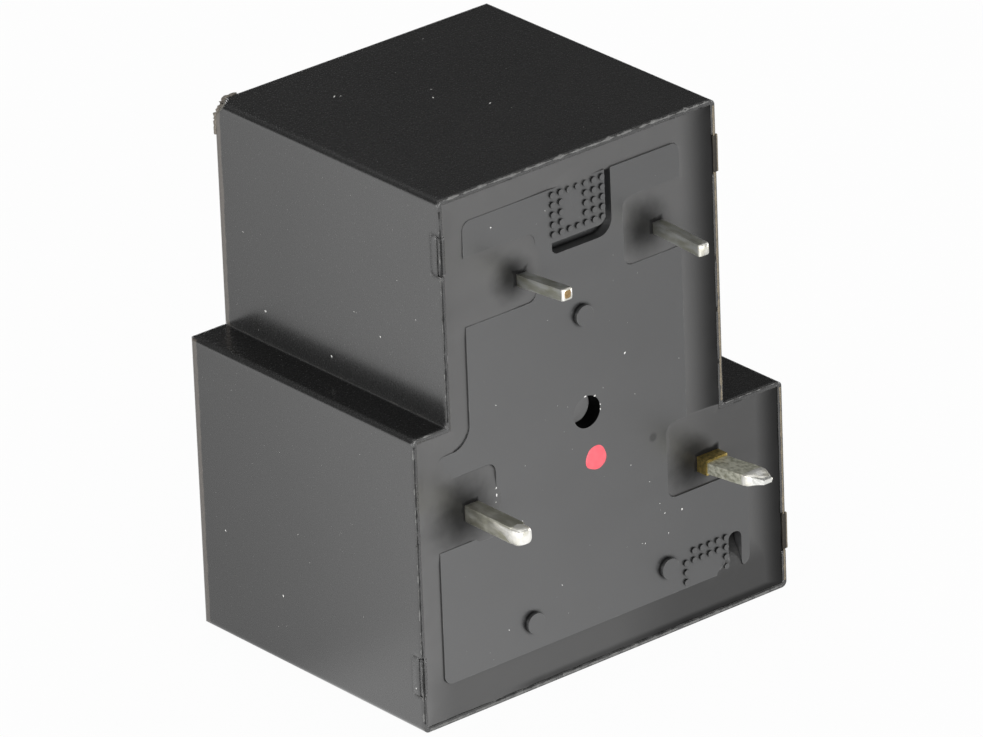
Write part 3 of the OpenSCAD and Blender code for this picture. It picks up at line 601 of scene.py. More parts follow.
def copyNode(node, name):  # a copy of a node's mesh, which stands for the node
    mesh = nodes[node].data.copy()
    mesh.name = name
    piece = addObject(name, mesh)
    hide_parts(node)
    return piece


def tubeFaces(rings, around):  # sides, then the two ends
    faces = []
    for i in range(rings - 1):
        for k in range(around):
            n = (k + 1) % around
            faces.append((i * around + k, i * around + n, (i + 1) * around + n, (i + 1) * around + k))
    faces.append(tuple(reversed(range(around))))
    faces.append(tuple(range((rings - 1) * around, rings * around)))
    return faces


def resample(rows, count):  # evenly spaced rows between the given ones
    steps = np.linspace(0, len(rows) - 1, count)
    return np.array([np.interp(steps, np.arange(len(rows)), column) for column in np.array(rows).T]).T


def roundRect(x, z, low, high, r):  # distance to a rectangle with round corners
    midX, midZ = (low[0] + high[0]) / 2, (low[1] + high[1]) / 2
    dx = np.abs(x - midX) - (high[0] - low[0]) / 2 + r
    dz = np.abs(z - midZ) - (high[1] - low[1]) / 2 + r
    outside = np.hypot(np.maximum(dx, 0), np.maximum(dz, 0))
    return outside + np.minimum(np.maximum(dx, dz), 0) - r


def coverOutline(inset):
    left, right, top = form["left"] + inset, form["right"] - inset, form["top"] - inset
    neckLeft, neckRight = form["neckLeft"] + inset, form["neckRight"] - inset
    low, high = form["shoulderRight"] - inset, form["shoulderLeft"] - inset
    return [(left, inset), (right, inset), (right, low), (neckRight, low),
            (neckRight, top), (neckLeft, top), (neckLeft, high), (left, high)]


def outlineDistance(x, z, corners):  # positive inside the outline
    nearest = np.full(x.shape, 1e9)
    inside = np.zeros(x.shape, bool)
    for (ax, az), (bx, bz) in zip(corners, corners[1:] + corners[:1]):
        runX, runZ = bx - ax, bz - az
        share = np.clip(((x - ax) * runX + (z - az) * runZ) / (runX ** 2 + runZ ** 2), 0, 1)
        nearest = np.minimum(nearest, np.hypot(x - ax - share * runX, z - az - share * runZ))
        crosses = (az > z) != (bz > z)
        inside ^= crosses & (x < ax + (z - az) * runX / (runZ if runZ else 1))
    return np.where(inside, nearest, -nearest)


def smoothStep(value, low, high):
    share = np.clip((value - low) / (high - low), 0, 1)
    return share * share * (3 - 2 * share)


def waviness(x, z, height, size, seed):
    flat = [height * noise.noise(Vector((a / size, b / size, seed))) for a, b in zip(x.ravel(), z.ravel())]
    return np.array(flat).reshape(x.shape)


# Poured resin

resinFill = {
    "pitch": 0.12,
    "level": -0.05,  # heights are from the island's face, out of the base
    "levelWave": (0.015, 2.5, 1.0),  # height, size and seed
    "rimTop": 0.06,
    "rimWave": (0.05, 1.1, 4.0),
    "rimReach": 0.6,
    "islandTop": -0.095,
    "islandReach": 0.2,
    "lapTop": 0.015,
    "lapFall": 0.03,
    "pinTop": 0.12,
    "pinWave": (0.12, 0.8, 9.0),
    "pinReach": 0.35,
    "overlap": 0.13,  # how far the sheet runs into its neighbours
    "slotDrop": 0.62,  # how far the resin falls away up the slot beside the lower dots
}
resinLaps = [
    # where the resin runs over the island's edge: x, z, half width, half height, how far, how fully
    (-11.9, 15.5, 2.1, 2.0, 0.9, 1.0),
    (-1.05, 30.4, 2.4, 0.9, 0.6, 1.0),
    (-5.0, 26.2, 2.8, 3.0, 0.8, 1.0),
    (9.3, 2.6, 1.7, 1.7, 0.4, 1.0),
    (-7.7, 12.6, 1.0, 1.9, 0.5, 1.0),
    (-8.4, 10.75, 1.9, 0.9, 0.5, 1.0),
    (-7.5, 29.8, 5.5, 2.6, 0.25, 0.6),
    (-7.6, 24.0, 3.4, 1.0, 0.25, 0.6),
    (-11.0, 10.75, 2.2, 0.9, 0.25, 0.6),
    (4.3, 24.0, 3.2, 0.9, 0.25, 0.6),
]
farOut = 60.0
pinPockets = {
    # reach of a pocket from its pin: left, right, down and up
    "left": (farOut, 1.13, 1.75, 2.5),
    "right": (2.52, farOut, 1.75, 2.5),
    "open": (farOut, 1.9, 1.9, 2.45),
    "common": (3.0, farOut, 1.55, form["shoulderRight"] - pins["common"]["z"]),
}


def islandField(x, z):  # negative on the island
    r, fillet, slot = form["islandRound"], form["islandFillet"], lowSlot
    left, right = form["neckLeft"] + form["bandLeft"], form["neckRight"] - form["bandRight"]
    low, top = form["bandBottom"], form["top"] - form["bandTop"]
    wingLeft, wingTop = form["left"] + form["bandLeft"], form["shoulderLeft"] - form["bandLeft"]
    wingRight, wingLow = form["right"] - form["bandRight"], form["shoulderRight"] - form["bandRight"]
    field = roundRect(x, z, (left, low), (right, top), r)
    field = np.minimum(field, roundRect(x, z, (wingLeft, low), (form["neckMid"], wingTop), r))
    field = np.minimum(field, roundRect(x, z, (form["neckMid"], low), (wingRight, wingLow), r))
    square = roundRect(x, z, (left - fillet, wingTop - 0.3), (left + 0.3, wingTop + fillet), 0)
    hollow = fillet - np.hypot(x - left + fillet, z - wingTop - fillet)
    field = np.minimum(field, np.maximum(square, hollow))
    for name, (west, east, down, up) in pinPockets.items():
        midX, midZ = pins[name]["x"], pins[name]["z"]
        pocket = roundRect(x, z, (midX - west, midZ - down), (midX + east, midZ + up), r)
        field = np.maximum(field, -pocket)
    groove = roundRect(x, z, (slot["left"], -farOut), (slot["right"], slot["top"]), slot["round"])
    field = np.maximum(field, -groove)
    midX, midZ = slot["left"] - slot["corner"], form["bandBottom"] + slot["corner"]
    bite = np.hypot(x - midX, z - midZ) - slot["corner"]
    return np.where((x > midX) & (x < slot["right"]) & (z < midZ), np.maximum(field, bite), field)


def resinLap(x, z):  # share of a lap, and how far it runs onto the island
    share, lap = np.zeros(x.shape), np.zeros(x.shape)
    for midX, midZ, halfX, halfZ, reach, fully in resinLaps:
        near = fully * (1 - smoothStep(np.hypot((x - midX) / halfX, (z - midZ) / halfZ), 0.3, 1.0))
        share, lap = np.maximum(share, near), np.maximum(lap, reach * near)
    return share, lap


def resinHeight(x, z, fill):
    rim = np.maximum(outlineDistance(x, z, coverOutline(form["lip"])), 0)
    island = islandField(x, z)
    band = np.maximum(island, 0)
    level = fill["level"] + waviness(x, z, *fill["levelWave"])
    rimTop = fill["rimTop"] + waviness(x, z, *fill["rimWave"])
    height = level + (rimTop - level) * np.exp(-rim / fill["rimReach"])
    height = height + (fill["islandTop"] - level) * np.exp(-band / fill["islandReach"])
    share, lap = resinLap(x, z)
    flush = fill["lapTop"] - fill["lapFall"] * smoothStep(-island, 0.1 * lap, lap + 0.02)
    height = height + (flush - height) * share * (1 - smoothStep(band, 0.2, 2.0))
    inSlot = smoothStep(x, lowSlot["left"] - 0.1, lowSlot["left"] + 0.1) * (x < lowSlot["right"] + 0.2)
    inSlot = inSlot * (z < lowSlot["top"] + 0.5)
    height = height - fill["slotDrop"] * inSlot * smoothStep(z, 2.5, lowSlot["top"] - 0.4)
    climb = 1 + waviness(x, z, *fill["pinWave"])
    for pin in pins.values():
        gap = roundRect(x, z, (pin["x"] - pin["halfX"], pin["z"] - pin["halfZ"]),
                        (pin["x"] + pin["halfX"], pin["z"] + pin["halfZ"]), 0.1)
        height = height + fill["pinTop"] * climb * np.exp(-np.maximum(gap, 0) / fill["pinReach"])
    return height


def addResin(fill):
    pitch = fill["pitch"]
    xs = np.arange(form["left"], form["right"] + pitch, pitch)
    zs = np.arange(0, form["top"] + pitch, pitch)
    x, z = np.meshgrid(xs, zs, indexing="ij")
    rim = outlineDistance(x, z, coverOutline(form["lip"]))
    wanted = (rim > -fill["overlap"]) & (islandField(x, z) > -np.maximum(fill["overlap"], resinLap(x, z)[1]))
    height = resinHeight(x, z, fill)
    cells = wanted[:-1, :-1] & wanted[1:, :-1] & wanted[1:, 1:] & wanted[:-1, 1:]
    index = np.full(x.shape, -1)
    points, faces = [], []

    def cornersOf(i, j):
        return [(i, j), (i + 1, j), (i + 1, j + 1), (i, j + 1)]

    for i, j in zip(*np.nonzero(cells)):
        for a, b in cornersOf(i, j):
            if index[a, b] < 0:
                index[a, b] = len(points)
                points.append((x[a, b], form["faceY"] - height[a, b], z[a, b]))
    under = len(points)
    points += [(p[0], form["plateY"], p[2]) for p in points]
    for i, j in zip(*np.nonzero(cells)):
        loop = [int(index[a, b]) for a, b in cornersOf(i, j)]
        faces.append(tuple(loop))
        faces.append(tuple(k + under for k in reversed(loop)))
        for side, (di, dj) in enumerate(((0, -1), (1, 0), (0, 1), (-1, 0))):
            a, b = i + di, j + dj
            inGrid = 0 <= a < cells.shape[0] and 0 <= b < cells.shape[1]
            if not (inGrid and cells[a, b]):
                first, second = loop[side], loop[(side + 1) % 4]
                faces.append((second, first, first + under, second + under))
    piece = addPiece("resinFill", points, faces, "sealingResin")
    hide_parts("sealing_resin")


addResin(resinFill)
print("resin poured")


# Pins, bent a little where they leave the base

pinBends = {
    # mm that the tip moves in x and z, where the bend is, and the share of its thickness that the pin keeps
    "left": {"name": "leftCoilPin", "slot": "tinned_pin", "tip": (0, 0.31), "from": -10.2, "keep": 1.0},
    "right": {"name": "rightCoilPin", "slot": "tinned_pin", "tip": (0, -0.19), "from": -10.2, "keep": 1.0},
    "common": {"name": "commonTerminal", "slot": "brass_terminal", "tip": (0.2, 0.28),
               "from": -10.83, "keep": 0.88},
}
bendLength = 0.3


def bentSpot(side, x, y, z):  # where a point of a straight pin goes
    pin, bend = pins[side], pinBends[side]
    middle = bend["from"] - bendLength / 2
    out = max(middle - y, 0) / (middle - pin["tip"])
    if y < bend["from"] + 0.001:
        z = pin["z"] + (z - pin["z"]) * bend["keep"]
    return x + out * bend["tip"][0], y, z + out * bend["tip"][1]


def bendPin(side, bend):
    piece = copyNode(pins[side]["node"], bend["name"])
    work = bmesh.new()
    work.from_mesh(piece.data)
    bmesh.ops.remove_doubles(work, verts=work.verts, dist=1e-6)
    for y in (bend["from"], bend["from"] - bendLength):
        whole = work.verts[:] + work.edges[:] + work.faces[:]
        bmesh.ops.bisect_plane(work, geom=whole, plane_co=(0, y * mm, 0), plane_no=(0, 1, 0))
    for vert in work.verts:
        vert.co = Vector(bentSpot(side, *(vert.co / mm))) * mm
    work.to_mesh(piece.data)
    work.free()
    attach(piece, "housing")


for side, bend in pinBends.items():
    bendPin(side, bend)
print("pins bent")


# Solder and tin on the pins, lofted along -Y

def tipRings(side, lift, rows):  # rings round the tip of a coil pin, y counted from the tip
    pin = pins[side]
    x, z = pin["x"], pin["z"] + pinBends[side]["tip"][1] + lift
    return [(pin["tip"] + y, x, z, halfX, halfZ, square) for y, halfX, halfZ, square in rows]


pinCoats = {
    # rings: y, middle x, middle z, half x, half z, squareness
    "openDrop": {"finish": "solder", "wobble": 0.02, "rings": [
        (-12.0, -9.85, 13.05, 0.22, 0.06, 3), (-12.6, -9.84, 12.93, 0.30, 0.20, 3),
        (-13.2, -9.82, 12.80, 0.33, 0.34, 3), (-13.8, -9.68, 12.62, 0.47, 0.54, 4),
        (-14.2, -9.60, 12.61, 0.53, 0.56, 4), (-14.45, -9.58, 12.62, 0.52, 0.53, 3.6),
        (-14.62, -9.57, 12.63, 0.46, 0.47, 3.2), (-14.69, -9.56, 12.64, 0.36, 0.36, 2.8),
        (-14.715, -9.56, 12.64, 0.18, 0.18, 2)]},
    "openShaft": {"finish": "openPin", "wobble": 0.015, "rings": [
        (-9.6, -9.6, 12.65, 0.52, 0.52, 14), (-10.8, -9.6, 12.65, 0.52, 0.52, 14),
        (-11.6, -9.6, 12.65, 0.52, 0.52, 14), (-12.6, -9.6, 12.65, 0.515, 0.515, 14),
        (-13.9, -9.58, 12.66, 0.51, 0.51, 10), (-14.3, -9.56, 12.68, 0.40, 0.42, 6)]},
    "commonShaft": {"finish": "frostedTin", "on": "common", "wobble": 0.015, "rings": [
        (-10.75, 8.0, 10.0, 0.70, 0.34, 20), (-10.83, 8.0, 10.0, 0.775, 0.40, 20),
        (-12.0, 8.0, 10.0, 0.78, 0.405, 20), (-13.0, 8.0, 10.0, 0.78, 0.405, 20),
        (-13.75, 8.0, 10.0, 0.775, 0.40, 16), (-13.9, 8.0, 10.0, 0.60, 0.30, 8)]},
    "commonTip": {"finish": "solder", "on": "common", "wobble": 0.03, "rings": [
        (-13.4, 7.94, 9.99, 0.64, 0.30, 6), (-13.7, 7.99, 9.99, 0.79, 0.415, 10),
        (-14.0, 8.02, 9.99, 0.76, 0.41, 8), (-14.35, 8.07, 9.98, 0.60, 0.345, 4),
        (-14.6, 8.15, 9.99, 0.42, 0.27, 3), (-14.75, 8.22, 10.0, 0.26, 0.20, 2.4),
        (-14.92, 8.26, 10.0, 0.18, 0.16, 2.2), (-14.99, 8.28, 10.0, 0.09, 0.09, 2)]},
    "leftCutRim": {"finish": "solder", "wobble": 0.01, "rings": tipRings("left", 0, [
        (0.22, 0.30, 0.30, 12), (0.14, 0.355, 0.355, 12), (0.05, 0.355, 0.355, 10), (-0.01, 0.33, 0.33, 8)])},
    "leftCutCore": {"finish": "cutEnd", "wobble": 0.02, "rings": tipRings("left", 0.02, [
        (0.05, 0.23, 0.25, 5), (-0.022, 0.22, 0.24, 4), (-0.030, 0.13, 0.14, 3)])},
    "rightCutRim": {"finish": "solder", "wobble": 0.01, "rings": tipRings("right", 0, [
        (0.24, 0.30, 0.30, 12), (0.16, 0.36, 0.36, 12), (0.06, 0.36, 0.36, 10), (-0.01, 0.32, 0.32, 7)])},
}


def loftRings(name, look, around=32, along=28):
    points = []
    for y, midX, midZ, halfX, halfZ, square in resample(sorted(look["rings"], reverse=True), along):
        if "on" in look:
            midX, y, midZ = bentSpot(look["on"], midX, y, midZ)
            halfZ = halfZ * pinBends[look["on"]]["keep"]
        for k in range(around):
            turn = 2 * math.pi * (k + 0.5) / around
            c, s = math.cos(turn), math.sin(turn)
            px = midX + halfX * math.copysign(abs(c) ** (2 / square), c)
            pz = midZ + halfZ * math.copysign(abs(s) ** (2 / square), s)
            bump = look["wobble"] * noise.fractal(Vector((px, y, pz)) * 2.2, 0.8, 2.0, 3)
            points.append((px + bump * c, y, pz + bump * s))
    addPiece(name, points, tubeFaces(along, around), look["finish"])


for name, look in pinCoats.items():
    loftRings(name, look)
print("pins tinned")


# Latch tabs: cover plastic closes the left notches and hides their tabs, which are pressed flush;
# a bead of resin and a pale edge close the right ones

latchSeals = {
    # side, shift out of that side, half width, spare length,
    # back and front below the rim, squareness, wobble, finish
    "Plug": (-1, -0.06, 0.055, 0, 0.19, 0.005, 14, 0.015, "coverPlastic"),
    "Lip": (-1, -0.31, 0.115, 0, 0.205, 0.0, 14, 0.01, "coverPlastic"),
    "Skin": (-1, -0.042, 0.05, 0.15, 0.85, 0.245, 6, 0.0, "coverPlastic"),
    "Bead": (1, -0.07, 0.15, 0, 0.25, -0.03, 14, 0.015, "latchBead"),
    "Edge": (1, 0.09, 0.085, 0, 0.2, -0.01, 14, 0.015, "warmFlash"),
}
latchPlaces = {
    "low": (form["left"], form["right"], form["latchLow"]),
    "high": (form["neckLeft"], form["neckRight"], form["latchHigh"]),
}


def pressTabs():
    piece = copyNode("base", "pressedBase")
    for vert in piece.data.vertices:
        wall = form["left"] if vert.co.z < form["shoulderLeft"] * mm else form["neckLeft"]
        vert.co.x = max(vert.co.x, wall * mm)
    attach(piece, "housing")


def sealLatch(name, left, right, z, seal):
    side, shift, half, spare, back, front, square, wobble, finishName = seal
    x = (left if side < 0 else right) + side * shift
    reach = form["latchLength"] / 2 + spare
    taper = ((back, 0.7), (back - 0.06, 1), (front + 0.06, 1), (front + 0.015, 0.9), (front, 0.7))
    rings = [(form["rimY"] + y, x, z, half * share, reach - 0.1 * (1 - share), square) for y, share in taper]
    loftRings(name, {"finish": finishName, "wobble": wobble, "rings": rings})


pressTabs()
for place, (left, right, z) in latchPlaces.items():
    for kind, seal in latchSeals.items():
        sealLatch(place + kind, left, right, z, seal)
print("latches sealed")


# Ragged lines along the lip: a pale line on its outer edge, painted shade in its seam

outline = coverOutline(0)
sides = ("bottom", "wideRight", "shoulderRight", "neckRight", "top", "neckLeft", "shoulderLeft", "wideLeft")
edgeRuns = {side: (outline[(i + 1) % 8], outline[i]) for i, side in enumerate(sides)}
rimForm = {
    "step": 0.07,
    "grain": 1.4,
    "drift": 0.03,
    "driftGrain": 0.8,
    "thick": 0.03,
    "sunk": 0.012,
    "gone": 0.02,  # how deep a line runs where it has no width
}
rimLines = [
    # run, kind, inset of its middle, width, swing of the width, finish, ends left out
    ("top", "Flash", 0.06, 0.12, 0.22, "paleFlash", (0.4, 0.4)),
    ("neckLeft", "Shade", 0.10, 0.09, 0.14, "grime", (0.3, 0.6)),
    ("neckLeft", "Flash", 0.02, -0.02, 0.16, "paleFlash", (0.3, 0.4)),
    ("wideLeft", "Shade", 0.10, 0.09, 0.15, "grime", (0.6, 0.4)),
    ("wideLeft", "Flash", 0.02, 0.0, 0.2, "paleFlash", (0.5, 0.4)),
    ("shoulderLeft", "Flash", 0.05, 0.02, 0.14, "paleFlash", (0.4, 0.1)),
    ("neckRight", "Flash", 0.10, 0.17, 0.14, "warmFlash", (0.4, 0.2)),
    ("wideRight", "Flash", 0.10, 0.15, 0.14, "warmFlash", (0.4, 0.4)),
    ("shoulderRight", "Flash", 0.05, 0.03, 0.12, "paleFlash", (0.2, 0.4)),
    ("bottom", "Flash", 0.12, 0.13, 0.22, "paleFlash", (0.4, 0.4)),
    ("bottom", "Shade", 0.25, 0.06, 0.16, "grime", (1.0, 5.0)),
]


def addRimLine(seed, run, kind, inset, width, swing, finishName, ends):
    start, end = (np.array(p, float) for p in edgeRuns[run])
    length = np.linalg.norm(end - start)
    heading = (end - start) / length
    inward = np.array((heading[1], -heading[0]))
    sunk, points = rimForm["sunk"], []
    steps = np.arange(ends[0], length - ends[1], rimForm["step"])
    for s in steps:
        rough = noise.fractal(Vector((s * rimForm["grain"], seed, 0)), 0.7, 2.0, 4)
        drift = rimForm["drift"] * noise.noise(Vector((s * rimForm["driftGrain"], seed + 3, 0)))
        half = max(width + swing * rough, 0) / 2
        middle = start + heading * s + inward * (inset + drift)
        lift = min(half, rimForm["thick"]) * 0.5
        for side, y in ((-1, sunk), (-0.6, -lift), (0.6, -lift), (1, sunk)):
            spot = middle + inward * side * max(half, 0.002)
            outside = max(0.0, -(inset + drift + side * half))
            points.append((spot[0], form["rimY"] + (y if half > 0 else rimForm["gone"]) + outside, spot[1]))
        points.append((middle[0], form["rimY"] + rimForm["thick"], middle[1]))
    addPiece(run + kind, points, tubeFaces(len(steps), 5), finishName)


for i, line in enumerate(rimLines):
    addRimLine(2 + 3 * i, *line)
print("rim lines laid")


# Dust that lies on the faces, and painted glints along two edges of the base

faceFrames = {
    # out of the face, and the two axes along it
    "base": ((0, -1, 0), 0, 2),
    "left": ((-1, 0, 0), 1, 2),
    "right": ((1, 0, 0), 1, 2),
    "back": ((0, 1, 0), 0, 2),
    "top": ((0, 0, 1), 0, 1),
}
dustAndGlints = {
    "seed": 41,
    "shapeSeed": 7,
    "perFace": {"base": 46, "left": 40, "right": 40, "back": 44, "top": 12},
    "within": ((-13.2, 13.2), (-9.4, 9.4), (0.6, 31.8)),  # x, y and z
    "least": 0.010,
    "most": 0.04,
    "falloff": 2.5,  # few are large
    "stretch": (1, 2.2),
    "turn": (0, 3.1),
    "ragged": (0.7, 1.25),
    "sunk": 0.01,
    "inset": 0.45,  # of the upper ring, and the rise of it and of the peak, in shares of the radius
    "ringRise": 0.22,
    "peakRise": 0.35,
    "margin": 0.4,
    "clearOfGate": 1.4,
    "panels": [((-3.2, 26.2), (1.6, 30.6)), ((5.7, 2.2), (11.2, 5.1))],  # dotted, and kept clear
}
namedFlecks = [
    # face, the two places along it, radius, stretch, turn
    ("top", -5.9, 5.5, 0.07, 2.2, 0.4),
    ("top", -5.6, 5.3, 0.04, 1.5, 0.9),
    ("top", -2.0, 1.4, 0.06, 2.0, 1.2),
    ("top", -0.2, -1.5, 0.05, 2.5, 0.2),
    ("left", 6.0, 20.4, 0.09, 1.2, 0.3),
    ("left", 0.1, 19.5, 0.07, 1.4, 1.0),
    ("left", -4.4, 22.2, 0.06, 1.3, 0.6),
    ("left", 7.5, 6.8, 0.06, 1.2, 0.2),
    ("left", 2.4, 4.4, 0.06, 1.6, 1.4),
    # painted glints along the right edge of the open pin's pocket
    ("base", -7.72, 13.0, 0.09, 1.8, 1.5),
    ("base", -7.74, 13.45, 0.07, 1.5, 1.3),
    ("base", -7.8, 12.6, 0.06, 1.3, 1.2),
    ("base", 6.0, 7.5, 0.08, 1.1, 0.0),
    ("base", 4.7, 7.7, 0.05, 1.3, 0.4),
    ("base", 2.1, 18.7, 0.07, 1.4, 0.8),
    ("base", -7.4, 29.5, 0.07, 1.1, 0.0),
    # painted highlights on the rim of the gate recess
    ("base", -0.95, 16.95, 0.08, 1.6, 0.3),
    ("base", -0.24, 16.77, 0.07, 1.3, 0.8),
    ("base", 0.15, 15.8, 0.06, 1.6, 1.5),
    ("base", 0.16, 16.1, 0.05, 1.4, 1.5),
    ("left", -9.45, 2.7, 0.06, 1.3, 1.2),
]


def onFace(face, a, b):  # the point of a face at two places along it
    if face == "top":
        return Vector((a, b, form["top"]))
    if face == "left":
        return Vector((form["left"] if b < form["shoulderLeft"] else form["neckLeft"], a, b))
    if face == "right":
        return Vector((form["right"] if b < form["shoulderRight"] else form["neckRight"], a, b))
    return Vector((a, form["faceY"] if face == "base" else form["backY"], b))


def isClear(face, x, z, look):  # whether a fleck has room there
    margin = look["margin"]
    neck = form["neckLeft"] + margin < x < form["neckRight"] - margin
    if face == "base":
        gate = math.hypot(x - form["gate"][0], z - form["gate"][1]) <= look["clearOfGate"]
        panel = any(low[0] < x < high[0] and low[1] < z < high[1] for low, high in look["panels"])
        return not gate and not panel and islandField(np.array([x]), np.array([z]))[0] < -margin
    if face == "back":
        return z < form["shoulderRight"] - margin or (neck and z > form["shoulderLeft"])
    if face == "top":
        return neck
    return abs(z - form["shoulderLeft" if face == "left" else "shoulderRight"]) > margin


def scatterFlecks(look):
    draw = random.Random(look["seed"])
    flecks = list(namedFlecks)
    for face, count in look["perFace"].items():
        out, first, second = faceFrames[face]
        made = 0
        while made < count:
            spot = [draw.uniform(*limits) for limits in look["within"]]
            radius = look["least"] + (look["most"] - look["least"]) * draw.random() ** look["falloff"]
            stretch, turn = draw.uniform(*look["stretch"]), draw.uniform(*look["turn"])
            if isClear(face, spot[0], spot[2], look):
                flecks.append((face, spot[first], spot[second], radius, stretch, turn))
                made += 1
    return flecks


def addDustAndGlints(look, count=8):
    points, faces = [], []
    draw = random.Random(look["shapeSeed"])
    unit = Matrix.Identity(3)
    for face, placeA, placeB, radius, stretch, turn in scatterFlecks(look):
        spot, out = onFace(face, placeA, placeB), Vector(faceFrames[face][0])
        across, up = unit[faceFrames[face][1]], unit[faceFrames[face][2]]
        first = len(points)
        c, s = math.cos(turn), math.sin(turn)
        for k in range(count):
            angle = 2 * math.pi * k / count
            reach = radius * draw.uniform(*look["ragged"])
            a, b = reach * stretch * math.cos(angle), reach * math.sin(angle) / math.sqrt(stretch)
            points.append(spot + across * (a * c - b * s) + up * (a * s + b * c) - out * look["sunk"])
        for k in range(count):
            inner = points[first + k].lerp(spot, look["inset"])
            points.append(inner + out * (look["sunk"] + radius * look["ringRise"]))
        points.append(spot + out * radius * look["peakRise"])
        for k in range(count):
            n = (k + 1) % count
            faces.append((first + k, first + n, first + count + n, first + count + k))
            faces.append((first + count + k, first + count + n, first + 2 * count))
        faces.append(tuple(first + k for k in reversed(range(count))))
    addPiece("dustAndGlintFlecks", points, faces, "dustAndGlints")


addDustAndGlints(dustAndGlints)
print("dust settled")


# Test dot, a dab of paint on the base

dotDab = {
    "x": -0.32, "z": 12.85, "halfX": 0.80, "halfZ": 0.74, "wander": 0.13,
    "lean": 0.6, "leanShare": 0.12, "middle": 0.028,
    # share of its width, and rise, of each ring
    "shells": ((1.0, -0.012), (0.97, 0.012), (0.88, 0.035), (0.6, 0.0315), (0.3, 0.028)),
}


def addDot(look, around=64):
    shells = look["shells"]
    points = []
    for share, rise in shells:
        for k in range(around):
            turn = 2 * math.pi * k / around
            c, s = math.cos(turn), math.sin(turn)
            reach = share * (1 + look["wander"] * noise.noise(Vector((c * 1.3, s * 1.3, 5.0))))
            lean = 1 + look["leanShare"] * math.cos(turn - look["lean"])
            x, z = look["x"] + look["halfX"] * c * reach, look["z"] + look["halfZ"] * s * reach * lean
            points.append((x, form["faceY"] - rise, z))
    points.append((look["x"], form["faceY"] - look["middle"], look["z"]))
    faces = tubeFaces(len(shells), around)[:-1]
    top = (len(shells) - 1) * around
    for k in range(around):
        faces.append((top + k, top + (k + 1) % around, len(points) - 1))
    addPiece("redDot", points, faces, "redPaint")


addDot(dotDab)
print("dot dabbed")


# Ragged burr left where the vent nib was trimmed

ventBurr = {
    # x, y, z and girth along it
    "path": [(-11.15, 9.92, 30.2, 0.06), (-11.12, 9.88, 30.8, 0.18), (-11.02, 9.82, 31.2, 0.27),
             (-10.84, 9.72, 31.55, 0.30), (-10.58, 9.72, 31.85, 0.30), (-10.25, 9.84, 32.10, 0.25),
             (-9.9, 9.92, 32.2, 0.16), (-9.5, 9.95, 32.24, 0.05)],
    "ragged": 0.7,
    "spare": 0.02,  # mm that it stands off the faces
}


def addBurr(look, around=16, along=60):
    rows = resample(look["path"], along)
    points = []
    for i, row in enumerate(rows):
        middle, girth = Vector(row[:3]), float(row[3])
        heading = Vector(rows[min(i + 1, along - 1)][:3] - rows[max(i - 1, 0)][:3]).normalized()
        side = heading.orthogonal().normalized()
        other = heading.cross(side)
        for k in range(around):
            turn = 2 * math.pi * k / around
            way = side * math.cos(turn) + other * math.sin(turn)
            ragged = 1 + look["ragged"] * noise.fractal(middle * 3.5 + way * 1.6, 0.7, 2.0, 3)
            spot = middle + way * girth * ragged
            spot.x = max(spot.x, form["neckLeft"] - look["spare"])
            spot.y = min(spot.y, form["backY"] + look["spare"])
            spot.z = min(spot.z, form["top"] + look["spare"])
            points.append(spot)
    addPiece("ventBurr", points, tubeFaces(along, around), "trimmedBurr")


addBurr(ventBurr)
print("burr left")


# Contact spring between the yoke and the armature, its long edges cut finer

springBend = {
    "longestEdge": 0.5,
    "rounds": 6,
    "start": (6.75, 0.65, 13.2),
    "end": (4.6, 0.65, 9.6),
}


def addSpring(look):
    piece = copyNode("contact_spring", "leafSpring")
    work = bmesh.new()
    work.from_mesh(piece.data)
    bmesh.ops.remove_doubles(work, verts=work.verts, dist=1e-6)
    for step in range(look["rounds"]):
        longEdges = [e for e in work.edges if e.calc_length() > look["longestEdge"] * mm]
        if not longEdges:
            break
        bmesh.ops.subdivide_edges(work, edges=longEdges, cuts=1)
        bmesh.ops.triangulate(work, faces=work.faces)
    work.to_mesh(piece.data)
    work.free()
    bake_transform(piece)


addSpring(springBend)


# Floor, light and world

stageLook = {
    "floor": (0.9, 0.9, 0.9, 1),
    "floorSize": 6.0,
    "floorDrop": 0.02,  # mm under the object
    "whiteShare": 0.96,
    "world": 0.033,
    "poolHeading": (0.85, 0.53, 0),  # painted pool of light: the floor's mirrored white falls off this way
    "pool": (-18.0, 12.0),  # mm
    "poolLeast": 0.62,
    "behind": (-4.0, 4.0),  # and painted shade, more so behind the object
    "rear": (-26.0, -9.0),
    "rearLeast": 0.62,
    "clearX": (-14.0, -2.0),  # straight behind it the floor is white again
    "clearY": (6.0, 16.0),
}
softboxes = [
    # name, azimuth, elevation, distance, width, height, watts
    ("frontBox", -15, 8, 0.8, 0.7, 0.2, 5.5),
    ("leftBox", -80, 8, 0.8, 0.7, 0.2, 3.6),
    ("rightBox", 75, 8, 0.9, 0.6, 0.2, 2.6),
    ("backBox", 170, 8, 0.9, 0.6, 0.2, 2.6),
    ("topBox", 0, 90, 1.0, 1.6, 1.6, 7.5),
]


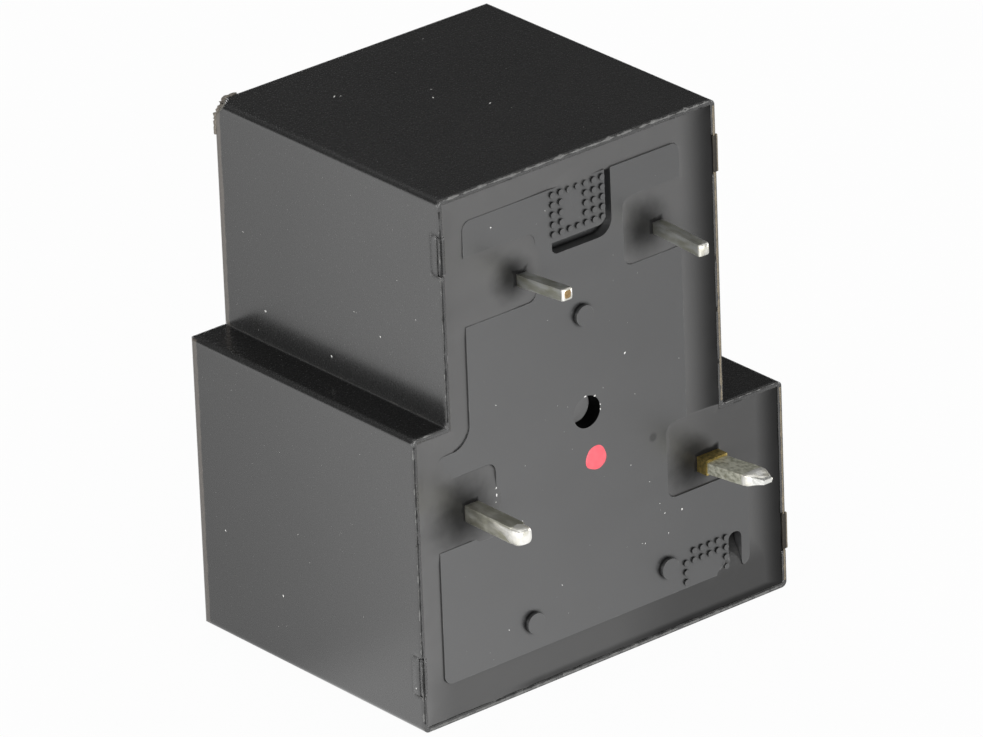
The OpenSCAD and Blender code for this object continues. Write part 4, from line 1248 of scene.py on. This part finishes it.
def addFloor(look):
    finish = Finish("paleFloor", {"Base Color": look["floor"], "Roughness": 0.9})
    camera, glossy, through = (finish.node("ShaderNodeLightPath", {}, {}, "Is " + ray + " Ray")
                               for ray in ("Camera", "Glossy", "Transmission"))
    # painted pool of light and painted shade on the floor, seen only in reflections; camera rays see it plain
    # white
    along = finish.vector("DOT_PRODUCT", finish.place(), look["poolHeading"], "Value")
    pool = 1 - (1 - look["poolLeast"]) * finish.past(along, *look["pool"])
    rear = finish.past(finish.axis("Y"), *look["behind"]) * finish.past(along, *look["rear"])
    pool = pool * (1 - (1 - look["rearLeast"]) * rear)
    clear = finish.past(finish.axis("X"), *look["clearX"]) * finish.past(finish.axis("Y"), *look["clearY"])
    colour = finish.tint(camera.atLeast(pool).atLeast(clear), (0, 0, 0, 1), (1, 1, 1, 1))
    white = finish.node("ShaderNodeEmission", {}, {"Color": colour, "Strength": 1.0})
    share = camera.atLeast(glossy.atLeast(through)) * look["whiteShare"]
    lit = Wire(finish, finish.shader.outputs[0])
    mixed = finish.node("ShaderNodeMixShader", {}, {0: share, 1: lit, 2: white})
    finish.tree.links.new(mixed.socket, finish.tree.nodes["Material Output"].inputs["Surface"])
    half = look["floorSize"] / 2
    mesh = bpy.data.meshes.new("floor")
    corners = [(-half, -half, 0), (half, -half, 0), (half, half, 0), (-half, half, 0)]
    mesh.from_pydata(corners, [], [(0, 1, 2, 3)])
    mesh.materials.append(finish.material)
    floor = addObject("floor", mesh)
    floor.location.z = -look["floorDrop"] * mm


def addSoftbox(name, azimuth, elevation, distance, width, height, watts):
    lamp = bpy.data.lights.new(name, "AREA")
    lamp.shape, lamp.size, lamp.size_y, lamp.energy = "RECTANGLE", width, height, watts
    box = addObject(name, lamp)
    back = directionOf(azimuth, elevation)
    box.location = back * distance
    box.rotation_euler = (-back).to_track_quat("-Z", "Y").to_euler()


def addWorld(look):
    world = bpy.data.worlds.new("studio")
    bpy.context.scene.world = world
    world.use_nodes = True
    world.node_tree.nodes["Background"].inputs["Color"].default_value = grey(look["world"])


addFloor(stageLook)
for box in softboxes:
    addSoftbox(*box)
addWorld(stageLook)
print("studio lit")
